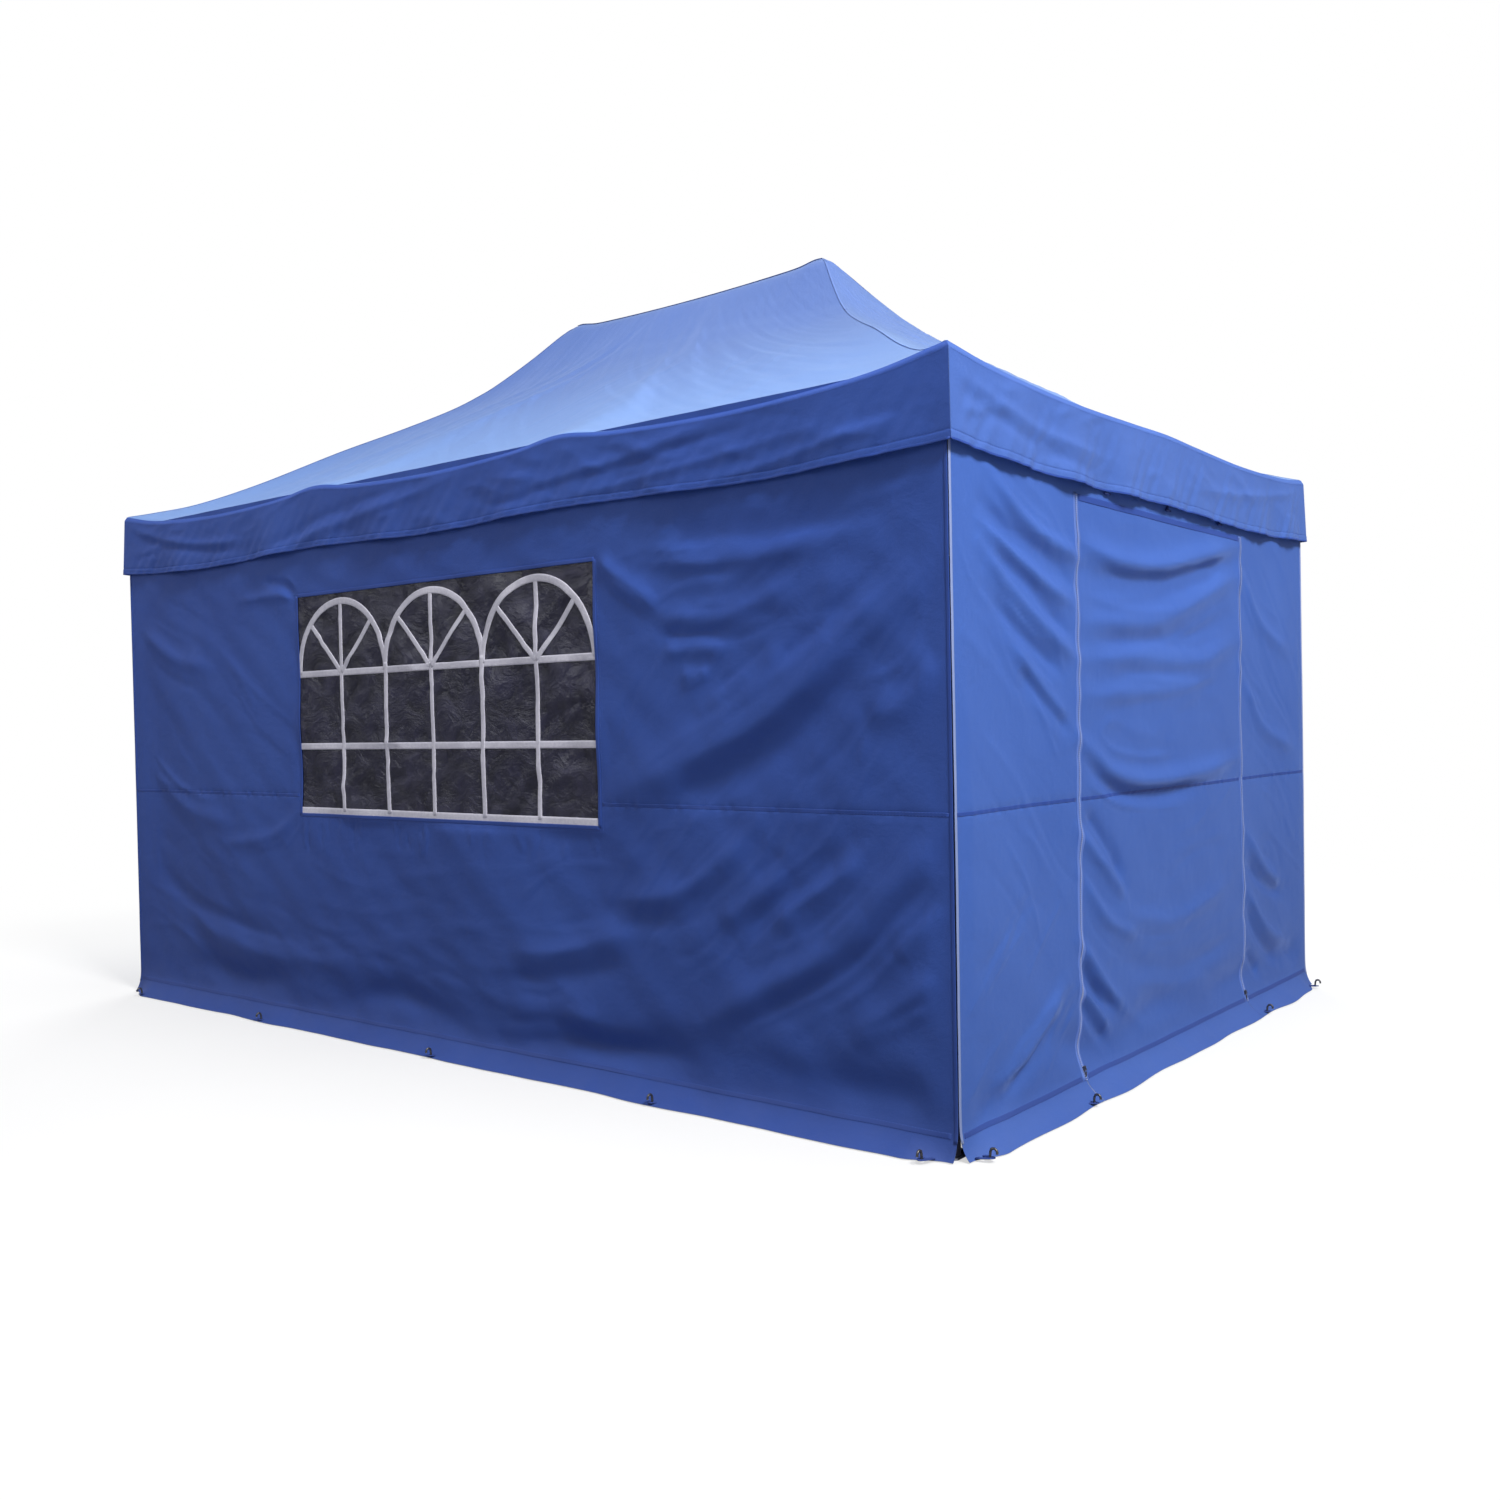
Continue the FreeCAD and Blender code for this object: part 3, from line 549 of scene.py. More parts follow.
def sheet(name, points, normals, uvs, keep=None, thick=.0010):
    """A cloth with two faces and a rim, from a grid of points. keep marks the cells used."""
    rows, columns = points.shape[:2]
    total = rows * columns
    if keep is None:
        keep = np.ones((rows - 1, columns - 1), bool)
    index = np.arange(total).reshape(rows, columns)
    quads = np.stack([index[:-1, :-1][keep], index[:-1, 1:][keep],
                      index[1:, 1:][keep], index[1:, :-1][keep]], 1)
    # edges that belong to one cell only make the rim
    edges = np.concatenate([quads[:, [i, (i + 1) % 4]] for i in range(4)])
    key = np.sort(edges, 1)
    _, inverse, count = np.unique(key[:, 0] * total + key[:, 1],
                                  return_inverse=True, return_counts=True)
    rim = edges[count[inverse] == 1]
    used = np.unique(quads)
    new_index = np.full(total, -1)
    new_index[used] = np.arange(len(used))
    n = len(used)
    normals = normals.reshape(-1, 3)[used]
    outer = points.reshape(-1, 3)[used]
    uvs = uvs.reshape(-1, 2)[used]
    verts = np.vstack([outer, outer - normals * thick])
    quads, rim = new_index[quads], new_index[rim]
    # turn the outer faces along the normals
    first, second, third = (verts[quads[:, i]] for i in range(3))
    if (np.cross(second - first, third - first) * normals[quads[:, 0]]).sum() < 0:
        quads, rim = quads[:, ::-1], rim[:, ::-1]
    faces = np.vstack([quads, quads[:, ::-1] + n,
                       np.stack([rim[:, 1], rim[:, 0], rim[:, 0] + n, rim[:, 1] + n], 1)])
    mesh = bpy.data.meshes.new(name)
    mesh.vertices.add(len(verts))
    mesh.vertices.foreach_set("co", verts.ravel())
    mesh.loops.add(faces.size)
    mesh.loops.foreach_set("vertex_index", faces.ravel().astype(np.int32))
    mesh.polygons.add(len(faces))
    mesh.polygons.foreach_set("loop_start", np.arange(0, faces.size, 4, dtype=np.int32))
    mesh.update(calc_edges=True)
    mesh.polygons.foreach_set("use_smooth", np.ones(len(faces), bool))
    layer = mesh.uv_layers.new(name="UVMap")
    layer.data.foreach_set("uv", np.vstack([uvs, uvs])[faces.ravel()].ravel())
    mesh.normals_split_custom_set_from_vertices(np.vstack([normals, -normals]).tolist())
    mesh.validate()
    return link(mesh)


def path(along, z):
    """Length of a line on a sheet, and a function that gives its place at a distance."""
    distance = np.concatenate([[0], np.cumsum(np.hypot(np.diff(along), np.diff(z)))])
    return distance[-1], lambda t: (np.interp(t, distance, along), np.interp(t, distance, z))


class Trim:
    """Small solids in one mesh. Tapes and stitches lie on surface(side, along, z)."""

    def __init__(self, name, side=None, surface=wall_point):
        self.name, self.side, self.surface = name, side, surface
        self.verts, self.faces, self.smooth, self.count = [], [], [], 0

    def add(self, verts, faces, smooth_faces=True):
        self.verts.append(verts)
        self.faces += [[i + self.count for i in face] for face in faces]
        self.smooth += [smooth_faces] * len(faces)
        self.count += len(verts)

    def loft(self, rings, turn):
        """Closed rings joined in a row. turn is the direction of the first cap."""
        rows, size = rings.shape[:2]
        faces = [[i * size + j, i * size + (j + 1) % size,
                  (i + 1) * size + (j + 1) % size, (i + 1) * size + j]
                 for i in range(rows - 1) for j in range(size)]
        cap = list(range(size))
        faces += [cap[::turn], [(rows - 1) * size + j for j in cap][::-turn]]
        self.add(rings.reshape(-1, 3), faces)

    def ribbon(self, points, normals, width, thick, lift=0.0):
        """A flat tape along points, lying across one normal or one per point."""
        tangent = unit(np.gradient(points, axis=0))
        normals = unit(normals - (normals * tangent).sum(1, keepdims=True) * tangent)
        across = np.cross(tangent, normals)
        half = width / 2
        profile = [(-half, 0), (-half * .94, thick * .8), (-half * .6, thick),
                   (half * .6, thick), (half * .94, thick * .8), (half, 0),
                   (half, -thick * .4), (-half, -thick * .4)]
        self.loft(np.stack([points + across * x + normals * (z + lift) for x, z in profile], 1),
                  turn=-1)

    def rope(self, points, radius, sides=8):
        """A round cord. radius is one value or one per point."""
        points = np.asarray(points)
        tangent = unit(np.gradient(points, axis=0))
        helper = np.where(np.abs(tangent[:, 2:3]) > .9, [[1., 0, 0]], [[0, 0, 1.]])
        first = unit(np.cross(tangent, helper))
        second = np.cross(tangent, first)
        radius = np.broadcast_to(radius, len(points))[:, None, None]
        angle = np.linspace(0, 2 * math.pi, sides, endpoint=False)[None, :, None]
        self.loft(points[:, None] + radius * (np.cos(angle) * first[:, None]
                                              + np.sin(angle) * second[:, None]), turn=1)

    def block(self, centre, size, bevel):
        """A chamfered block. bevel is a part of its smallest half size."""
        half = np.array(size) / 2
        cut = bevel * half.min()
        verts = [centre + np.array([x * (half[0] - inset), y * (half[1] - inset), z])
                 for sign in (-1, 1)
                 for z, inset in ((sign * half[2], cut), (sign * (half[2] - cut), 0))
                 for x, y in ((-1, -1), (1, -1), (1, 1), (-1, 1))]
        loops = [list(range(i, i + 4)) for i in (0, 4, 12, 8)]
        faces = [loops[0][::-1]]
        faces += [[low[j], low[(j + 1) % 4], high[(j + 1) % 4], high[j]]
                  for low, high in zip(loops, loops[1:]) for j in range(4)]
        self.add(np.array(verts), faces + [loops[3]], smooth_faces=False)

    def tape(self, along, z, width, thick, lift):
        length, place = path(along, z)
        along, z = place(np.linspace(0, length, max(2, int(length / .012) + 1)))

        def at(move_along, move_z):
            return self.surface(self.side, along + move_along, z + move_z)

        reach = 4e-3
        normals = unit(np.cross(at(reach, 0) - at(-reach, 0), at(0, reach) - at(0, -reach)))
        normals = np.where((normals @ self.side.outward)[:, None] < 0, -normals, normals)
        self.ribbon(at(0, 0), normals, width, thick, lift)

    def stitches(self, along, z, lift=.0006):
        """A row of short raised stitches."""
        pitch, stitch, radius, outward = .011, .0065, .0007, self.side.outward
        length, place = path(along, z)
        t = np.arange(pitch / 2, length, pitch)
        start = self.surface(self.side, *place(t - stitch / 2))
        end = self.surface(self.side, *place(t + stitch / 2))
        across = unit(np.cross(end - start, outward)) * radius
        middle = (start + end) / 2 + outward * (lift + radius)
        sink = outward * radius * .2
        verts = np.stack([start - sink, middle + across, middle - across, end - sink], 1)
        self.add(verts.reshape(-1, 3),
                 [[4 * i + j for j in face] for i in range(len(t))
                  for face in ((0, 1, 2), (3, 2, 1), (0, 3, 1), (0, 2, 3))])

    def make(self):
        mesh = bpy.data.meshes.new(self.name)
        mesh.from_pydata(np.vstack(self.verts).tolist(), [], self.faces)
        mesh.polygons.foreach_set("use_smooth", np.array(self.smooth, bool))
        mesh.validate()
        mesh.update()
        return link(mesh)


# ------------------------------------------------------------------ materials
class Shader:
    """The node tree of a material or world, with short ways to add nodes."""

    def __init__(self, owner):
        owner.use_nodes = True
        self.owner, self.tree = owner, owner.node_tree

    def add(self, kind, **settings):
        node = self.tree.nodes.new("ShaderNode" + kind)
        for key, value in settings.items():
            setattr(node, key, value)
        return node

    def put(self, value, socket):
        """Links a socket, or sets a number or a colour."""
        if isinstance(value, bpy.types.NodeSocket):
            self.tree.links.new(value, socket)
        elif isinstance(value, (int, float)):
            socket.default_value = value
        else:
            socket.default_value = (*value, 1)

    def inputs(self, node, values):
        """Fills inputs from a dict of names or places."""
        for key, value in values.items():
            self.put(value, node.inputs[key])
        return node

    def uv(self):
        return self.add("UVMap", uv_map="UVMap").outputs[0]

    def position(self):
        return self.add("NewGeometry").outputs["Position"]

    def split(self, vector):
        return self.inputs(self.add("SeparateXYZ"), {0: vector}).outputs

    def mix(self, factor, first, second):
        node = self.add("Mix", data_type="RGBA")
        return self.inputs(node, {0: factor, 6: first, 7: second}).outputs[2]

    def ramp(self, factor, stops):
        node = self.inputs(self.add("ValToRGB"), {0: factor})
        elements = node.color_ramp.elements
        while len(elements) < len(stops):
            elements.new(.5)
        for element, (place, colour) in zip(elements, stops):
            element.position = place
            element.color = (*colour, 1)
        return node.outputs[0]

    def fade(self, factor, start, end, top=1.0):
        """0 up to start, rising to top at end."""
        return self.ramp(factor, [(start, (0, 0, 0)), (end, (top, top, top))])

    def noise(self, vector, scale, detail=4, rough=.55, distortion=0.0):
        values = {"Scale": scale, "Detail": detail, "Roughness": rough,
                  "Distortion": distortion, "Vector": vector}
        return self.inputs(self.add("TexNoise"), values).outputs["Fac"]

    def calc(self, operation, *values):
        node = self.add("Math", operation=operation)
        return self.inputs(node, dict(enumerate(values))).outputs[0]

    def level(self, value, reach, soft):
        """value / reach, held at 1 with a soft bend."""
        return self.calc("SMOOTH_MIN", self.calc("DIVIDE", value, reach), 1.0, soft)

    def fall(self, value, reach, soft):
        """1 falling to 0 as value grows to reach."""
        return self.calc("SUBTRACT", 1.0, self.level(value, reach, soft))

    def bump(self, height, strength, distance, under=None):
        values = {"Strength": strength, "Distance": distance, "Height": height}
        if under is not None:
            values["Normal"] = under
        return self.inputs(self.add("Bump"), values).outputs["Normal"]

    def surface(self, values):
        """Fills the principled shader and returns the material."""
        self.inputs(self.tree.nodes["Principled BSDF"], values)
        return self.owner

    def output_mix(self, factor, first, second, output):
        node = self.inputs(self.add("MixShader"),
                           {0: factor, 1: first.outputs[0], 2: second.outputs[0]})
        self.put(node.outputs[0], self.tree.nodes[output].inputs["Surface"])


def tint(colour, gain, add=0.0):
    return tuple(min(1, part * gain + add) for part in colour)


def cloth(name, base, light, rough=.52, sheen=.22, specular=.35, painted_eave_highlight=None, painted_graze_reflection=0.0):
    shader = Shader(bpy.data.materials.new(name))
    calc, mix, noise = shader.calc, shader.mix, shader.noise
    uv, position = shader.uv(), shader.position()
    # weave: two crossed threads, at a pitch of 2.1 mm
    weave = calc("MULTIPLY", *[calc("SINE", calc("MULTIPLY", axis, 2 * math.pi / .0021))
                               for axis in shader.split(uv)[:2]])
    slub = noise(uv, scale=140, detail=3, rough=.6)
    crease = noise(uv, scale=7.5, detail=7, rough=.62, distortion=.35)
    large = noise(position, scale=1.3, detail=3, rough=.5)
    colour = mix(shader.fade(large, .3, .7), base, light)
    colour = mix(calc("MULTIPLY_ADD", weave, .035, .035), colour, tint(light, 1.9, .02))
    colour = mix(calc("MULTIPLY", shader.fade(slub, .45, .75), .10), colour, tint(base, .55))
    # pale creases rubbed along the folds, and dust near the ground
    rub = shader.fade(noise(uv, scale=16, detail=8, rough=.7, distortion=1.4), .60, .72)
    colour = mix(calc("MULTIPLY", rub, .10), colour, tint(light, 1.6, .05))
    height = shader.split(position)[2]
    low = shader.fall(height, reach=.16, soft=.2)
    patches = calc("MULTIPLY", noise(position, scale=9, detail=5, rough=.7), .22)
    dust = calc("MULTIPLY", calc("MAXIMUM", low, 0.0), patches)
    colour = mix(dust, colour, (.30, .31, .36))
    if painted_eave_highlight:   # painted highlight: paler towards the eave, standing in for the sky reflected off the lower roof
        above = calc("MAXIMUM", calc("SUBTRACT", height, 2.20), 0.0)
        colour = mix(calc("MAXIMUM", shader.fall(above, reach=.55, soft=.3), 0.0), colour, painted_eave_highlight)
    if painted_graze_reflection:    # painted reflection: paler blue where the cloth is seen edge on, standing in for the sky reflected at grazing angles
        facing = shader.inputs(shader.add("LayerWeight"), {"Blend": .35}).outputs["Facing"]
        colour = mix(calc("MULTIPLY", calc("POWER", facing, 2.2), painted_graze_reflection), colour, (.52, .72, 1.0))
    # painted shade: darker towards the ground, where the walls get less light from the sky
    painted_low_shade = shader.fall(calc("MAXIMUM", height, 0.0), reach=2.1, soft=.3)
    colour = mix(calc("MULTIPLY", painted_low_shade, .52), colour, tint(base, .45))
    gloss = calc("MULTIPLY_ADD", crease, .22, rough - .11)
    gloss = calc("ADD", gloss, calc("MULTIPLY", dust, .4))
    relief = shader.bump(crease, strength=.35, distance=.012)
    relief = shader.bump(slub, strength=.25, distance=.0012, under=relief)
    relief = shader.bump(weave, strength=.30, distance=.0006, under=relief)
    return shader.surface({
        "Base Color": colour, "Roughness": gloss, "Specular IOR Level": specular,
        "Sheen Weight": sheen, "Sheen Roughness": .35, "Sheen Tint": tint(light, 1.5, .25),
        "Normal": relief})


def solid(name, base, second, rough, metal=0.0, scale=60, strength=.2, depth=.0008,
          specular=.5, coat=0.0, wear=None):
    """Two mixed tones with a fine grain. scale is the noise, strength and depth the bump."""
    shader = Shader(bpy.data.materials.new(name))
    calc, mix, noise = shader.calc, shader.mix, shader.noise
    position = shader.position()
    tone = noise(position, scale, detail=5, rough=.6)
    grain = noise(position, scale * 7, detail=3, rough=.6)
    colour = mix(shader.fade(tone, .35, .7), base, second)
    colour = mix(calc("MULTIPLY", grain, .12), colour, tint(base, .5))
    if wear:   # worn specks
        specks = noise(position, scale * .5, detail=9, rough=.75, distortion=.6)
        colour = mix(calc("MULTIPLY", shader.fade(specks, .63, .69), .6), colour, wear)
    return shader.surface({
        "Base Color": colour, "Roughness": calc("MULTIPLY_ADD", tone, .22, rough - .1),
        "Metallic": metal, "Specular IOR Level": specular, "Coat Weight": coat,
        "Normal": shader.bump(grain, strength, depth, shader.bump(tone, strength, depth * 2))})


def window_film():
    shader = Shader(bpy.data.materials.new("window_film"))
    uv = shader.uv()
    cloudy = shader.noise(uv, scale=9, detail=6, rough=.62, distortion=.9)
    fine = shader.noise(uv, scale=34, detail=4, rough=.6, distortion=.5)
    colour = shader.mix(shader.fade(cloudy, .35, .68), (.010, .010, .028), (.048, .047, .098))
    colour = shader.mix(shader.fade(fine, .60, .80, top=.35), colour, (.16, .15, .19))
    under = shader.bump(cloudy, strength=.8, distance=.02)
    return shader.surface({
        "Base Color": colour, "Roughness": shader.calc("MULTIPLY_ADD", fine, .22, .10),
        "Specular IOR Level": .55, "Alpha": .86,
        "Normal": shader.bump(fine, strength=.5, distance=.004, under=under)})


# painted shade: the front wall cloth is a darker copy of the wall cloth, standing in for the
# shade on the front wall
CLOTH_FRONT_SHADED = cloth("cloth_front", (.0320, .0900, .4200), (.0430, .1150, .4950))
CLOTH_WALL = cloth("cloth_wall", (.0520, .1400, .5400), (.0660, .1680, .6100), sheen=.34)
CLOTH_VALANCE_END = cloth("cloth_valance_end", (.0640, .1500, .5200), (.0780, .1750, .5900),
                          sheen=.40)
CLOTH_ROOF = cloth("cloth_roof", (.0500, .1200, .4200), (.0650, .1450, .4800), rough=.50,
                   sheen=.60, specular=.45, painted_eave_highlight=(.210, .390, .840), painted_graze_reflection=.38)
# painted shade: the long valance cloth is a darker copy of the end valance cloth, standing in for
# the shade on the long sides
CLOTH_VALANCE = cloth("cloth_valance", (.0340, .0920, .4200), (.0420, .1120, .4800))
BINDING = cloth("binding_tape", (.26, .34, .66), (.34, .42, .74), rough=.6)
SEAM = cloth("seam_tape", (.0260, .0740, .3600), (.0330, .0900, .4200))
ZIP_TAPE = solid("zip_tape", (.10, .19, .58), (.14, .24, .64), rough=.55, scale=220,
                 strength=.5, depth=.0005)
ZIP_COIL = solid("zip_coil", (.44, .52, .82), (.34, .42, .74), rough=.38, scale=400,
                 strength=.4, depth=.0004)
STRIPS = solid("window_strips", (.66, .65, .78), (.80, .79, .90), rough=.45, scale=90,
               strength=.3, depth=.0008, coat=.1)
THREAD = solid("thread", (.050, .11, .42), (.08, .15, .50), rough=.7, scale=500)
STEEL = solid("peg_steel", (.10, .10, .11), (.20, .19, .19), rough=.42, metal=.9, scale=150,
              wear=(.22, .12, .07))
WEBBING = solid("webbing", (.020, .048, .22), (.030, .066, .28), rough=.75, scale=350,
                strength=.6, depth=.0006)
FILM = window_film()

FRAME_MATERIALS = {
    "frame_steel": solid("powder_coat", (.44, .46, .53), (.54, .56, .63), rough=.42, metal=.25,
                         scale=55, strength=.35, depth=.0006, coat=.15, wear=(.30, .30, .33)),
    "inner_leg_steel": solid("satin_steel", (.38, .41, .52), (.48, .51, .62), rough=.36,
                             metal=.45, scale=40, depth=.0004, wear=(.55, .56, .60)),
    "bracket_plastic": solid("black_nylon", (.014, .014, .016), (.030, .030, .034), rough=.55,
                             scale=260, strength=.5, depth=.0005, specular=.4),
    "button_plastic": solid("button_red", (.42, .030, .022), (.52, .045, .030), rough=.32,
                            scale=120, strength=.15, coat=.3),
}
slot_of = {part["node"]: part["material_slot"] for part in frame["record"]["subparts"]}
for node_name, frame_piece in frame["nodes"].items():
    frame_material = FRAME_MATERIALS.get(slot_of.get(node_name))
    if frame_material:
        frame_piece.data.materials.clear()
        frame_piece.data.materials.append(frame_material)


# ------------------------------------------------------------------ walls
def dress(piece, side, material, replaces=None, body=None):
    """Material and body of a soft piece, and the part it replaces hidden."""
    piece.data.materials.append(material)
    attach(piece, body or side.body)
    if side.long:
        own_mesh(piece)
    else:
        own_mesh(piece)
    if replaces:
        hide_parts(replaces)


def dress_door(piece, material, replaces=None):
    dress(piece, RIGHT, material, replaces, body="door_panel")


WALL_ROWS = np.unique(np.round(np.concatenate([
    [.004, .0055, .0075, .010, .013, .017, .022, .028, .036, .045, .056, .068, .081, .095],
    np.arange(.110, WALL_TOP, .0115),
    [WALL_TOP, WIN_BOTTOM, WIN_TOP, DOOR_TOP],
    SEAM_Z + np.array([-.012, -.006, 0, .006, .012])]), 4))


def grid_lines(half, step, marks=()):
    """Places from -half to half that always include the ends and the marks on both halves."""
    marks = np.array([half, *marks])
    fixed = np.round(np.concatenate([-marks, marks]), 5)
    even = np.linspace(-half, half, int(round(2 * half / step)) + 1)
    places = np.unique(np.round(np.concatenate([even, fixed]), 5))
    kept = [places[0]]
    for place in places[1:]:
        if place - kept[-1] >= step * .35:
            kept.append(place)
        elif place in set(fixed):
            kept[-1] = place
    return np.array(kept)


def wall_grid(side, columns):
    """Points, normals and UVs of a wall, and the middles of its cells."""
    along, z = np.meshgrid(columns, WALL_ROWS)
    points = wall_point(side, along, z)
    steps = np.linalg.norm(np.diff(points[:, len(columns) // 2], axis=0), axis=1)
    height = np.concatenate([[0], np.cumsum(steps)])
    uvs = np.stack([along, np.repeat(height[:, None], len(columns), 1)], -1)
    middles = [(grid[:-1, :-1] + grid[1:, 1:]) / 2 for grid in (along, z)]
    return (points, grid_normals(points, side.outward), uvs), *middles


grid, cell_x, cell_z = wall_grid(FRONT, grid_lines(WALL_X, .0115, [WIN_X]))
window = (np.abs(cell_x) < WIN_X) & (cell_z > WIN_BOTTOM) & (cell_z < WIN_TOP)
dress(sheet("wall_front_cloth", *grid, keep=~window), FRONT, CLOTH_FRONT_SHADED,
      replaces="wall_front")
for side in (BACK, LEFT):
    grid = wall_grid(side, grid_lines(side.edge, .0150))[0]
    dress(sheet(f"wall_{side.name}_cloth", *grid), side, CLOTH_WALL,
          replaces=f"wall_{side.name}")

# The right wall has a clear pair of columns on each side of the zip gap.
right_columns = grid_lines(WALL_Y, .0115, [DOOR_Y, LEAF_Y])
right_columns = np.unique(np.concatenate([
    right_columns[np.abs(np.abs(right_columns) - ZIP_Y) > .004],
    [-DOOR_Y, -LEAF_Y, LEAF_Y, DOOR_Y]]))
grid, cell_y, cell_z = wall_grid(RIGHT, right_columns)
opening = (np.abs(cell_y) < DOOR_Y) & (cell_z < DOOR_TOP)
leaf = (np.abs(cell_y) < LEAF_Y) & (cell_z < DOOR_TOP)
dress(sheet("wall_right_cloth", *grid, keep=~opening), RIGHT, CLOTH_WALL, replaces="wall_right")
dress_door(sheet("door_cloth", *grid, keep=leaf), CLOTH_WALL, replaces="door_panel")

# ------------------------------------------------------------------ window
FILM_FIELD = Field(
    fine_folds(71, 120, (-.84, .84), (.92, 1.75), lambda x, z: 35 + 30 * math.sin(5 * x),
               (.06, .3), (1.2, 3.6), (.010, .026))
    + [(5, .03, [(.80, 1.74), (.55, 1.55), (.30, 1.30)]),
       (5, .03, [(.30, 1.75), (.05, 1.50), (-.2, 1.42)]),
       (-4, .03, [(.85, 1.3), (.6, 1.05), (.4, .95)])], .88, (.87, 1.80), .006)


def film_point(side, x, z):
    """The window film, just behind the outer face of the front wall."""
    points = wall_point(side, x, z)
    edge_gap = np.minimum(WIN_X - np.abs(x), np.minimum(z - WIN_BOTTOM, WIN_TOP - z))
    points[..., 1] += .0022 - FILM_FIELD(x, z) * smooth(edge_gap, -.002, .05)
    return points


def make_film():
    lap = .012
    x, z = np.meshgrid(np.linspace(-WIN_X - lap, WIN_X + lap, 150),
                       np.linspace(WIN_BOTTOM - lap, WIN_TOP + lap, 80))
    points = film_point(FRONT, x, z)
    film = sheet("window_film", points, grid_normals(points, FRONT.outward),
                 np.stack([x, z], -1), thick=.0006)
    dress(film, FRONT, FILM)


def make_tracery():
    """Pale strips: three bars and three round arches, each with a stem and two rays."""
    spring_z, radius = 1.462, .2875      # arch springing line and arch radius
    trim = Trim("window_tracery", FRONT, film_point)
    for z, width in ((.899, .030), (1.165, .026), (spring_z, .026)):
        trim.tape([-.868, .868], [z, z], width, thick=.0013, lift=.0008)
    angle = np.linspace(0, math.pi, 40)
    for x in (-.5725, 0.0, .5725):
        trim.tape(x + radius * np.cos(angle), spring_z + radius * np.sin(angle),
                  width=.027, thick=.0014, lift=.0012)
        trim.tape([x, x], [.90, spring_z + radius], width=.021, thick=.0013, lift=.0010)
        for degrees in (45, 135):
            ray, turn = radius * .99, math.radians(degrees)
            trim.tape([x, x + ray * math.cos(turn)], [spring_z, spring_z + ray * math.sin(turn)],
                      width=.021, thick=.0013, lift=.0011)
    for x in (-.285, .285):
        trim.tape([x, x], [.90, spring_z + .03], width=.023, thick=.0013, lift=.0014)
    dress(trim.make(), FRONT, STRIPS)


make_film()
make_tracery()


# ------------------------------------------------------------------ tapes and stitches
def wall_details(side):
    """Edge bindings, seam tapes and stitches of one wall."""
    edge = side.edge
    trim = Trim("edge_binding_" + side.name, side)
    for sign in (-1, 1):
        trim.tape([sign * (edge - .0050)] * 2, [.05, WALL_TOP - .01],
                  width=.0115, thick=.0014, lift=.0002)
    dress(trim.make(), side, SEAM if side.long else BINDING)

    def runs(inset, gap=None):
        ends = (-edge + inset, edge - inset)
        return [(ends[0], -gap), (gap, ends[1])] if gap else [ends]

    door_gap = .775 if side is RIGHT else None
    seam_runs = runs(.012, WIN_X + .02 if side is FRONT else door_gap)
    hem_runs = runs(.02, door_gap)
    trim = Trim("wall_seam_" + side.name, side)
    for run in seam_runs:
        trim.tape(run, [SEAM_Z] * 2, width=.012, thick=.0009, lift=.0002)
    for run in hem_runs:
        trim.tape(run, [HEM_Z] * 2, width=.016, thick=.0008, lift=.0002)
    dress(trim.make(), side, SEAM)

    trim = Trim("wall_stitches_" + side.name, side)
    for row_runs, z, offset, lift in ((seam_runs, SEAM_Z, .0045, .0012),
                                      (hem_runs, HEM_Z, .007, .0011)):
        for run in row_runs:
            for sign in (-1, 1):
                trim.stitches(run, [z + sign * offset] * 2, lift)
    if side is FRONT:   # two rows round the window
        for gap in (.012, .022):
            x, low, high = WIN_X + gap, WIN_BOTTOM - gap, WIN_TOP + gap
            trim.stitches([-x, x, x, -x, -x], [low, low, high, high, low])
    dress(trim.make(), side, THREAD)


def window_welt():
    gap = .006
    x, low, high = WIN_X + gap, WIN_BOTTOM - gap, WIN_TOP + gap
    trim = Trim("window_welt", FRONT)
    for ends_x, ends_z in (([-x, x], [high] * 2), ([-x, x], [low] * 2),
                           ([-x] * 2, [low, high]), ([x] * 2, [low, high])):
        trim.tape(ends_x, ends_z, width=.014, thick=.0012, lift=.0003)
    dress(trim.make(), FRONT, SEAM)


def on_right_wall(y, z):
    return wall_point(RIGHT, np.array([y]), np.array([z]))[0]


def door_zips():
    wall_tape, leaf_tape = Trim("door_zip_tapes", RIGHT), Trim("door_leaf_zip_tapes", RIGHT)
    coil = Trim("door_zip_coils")
    for sign in (-1, 1):
        for trim, y, width in ((wall_tape, .7600, .0150), (leaf_tape, .7415, .0130)):
            trim.tape([sign * y] * 2, [.060, DOOR_TOP - .004], width, thick=.0010, lift=.0002)
        for z in np.arange(.062, DOOR_TOP - .008, .0065):
            coil.block(on_right_wall(sign * DOOR_Y, z) + RIGHT.outward * .0022,
                       size=(.0026, .0062, .0036), bevel=.4)
    dress(wall_tape.make(), RIGHT, ZIP_TAPE)
    dress_door(leaf_tape.make(), ZIP_TAPE)
    dress(coil.make(), RIGHT, ZIP_COIL)


def door_seams():
    trim = Trim("door_seams", RIGHT)
    for z, width, thick in ((SEAM_Z, .012, .0009), (1.928, .022, .0011), (HEM_Z, .016, .0008)):
        trim.tape([-.730, .730], [z, z], width, thick, lift=.0002)
    dress_door(trim.make(), SEAM)
    trim = Trim("door_stitches", RIGHT)
    for z in (SEAM_Z - .0045, SEAM_Z + .0045, 1.920, 1.936, .062, .074):
        trim.stitches([-.725, .725], [z, z], lift=.0012)
    for y in (-.7330, .7330):
        trim.stitches([y, y], [.07, 1.94])
    dress_door(trim.make(), THREAD)


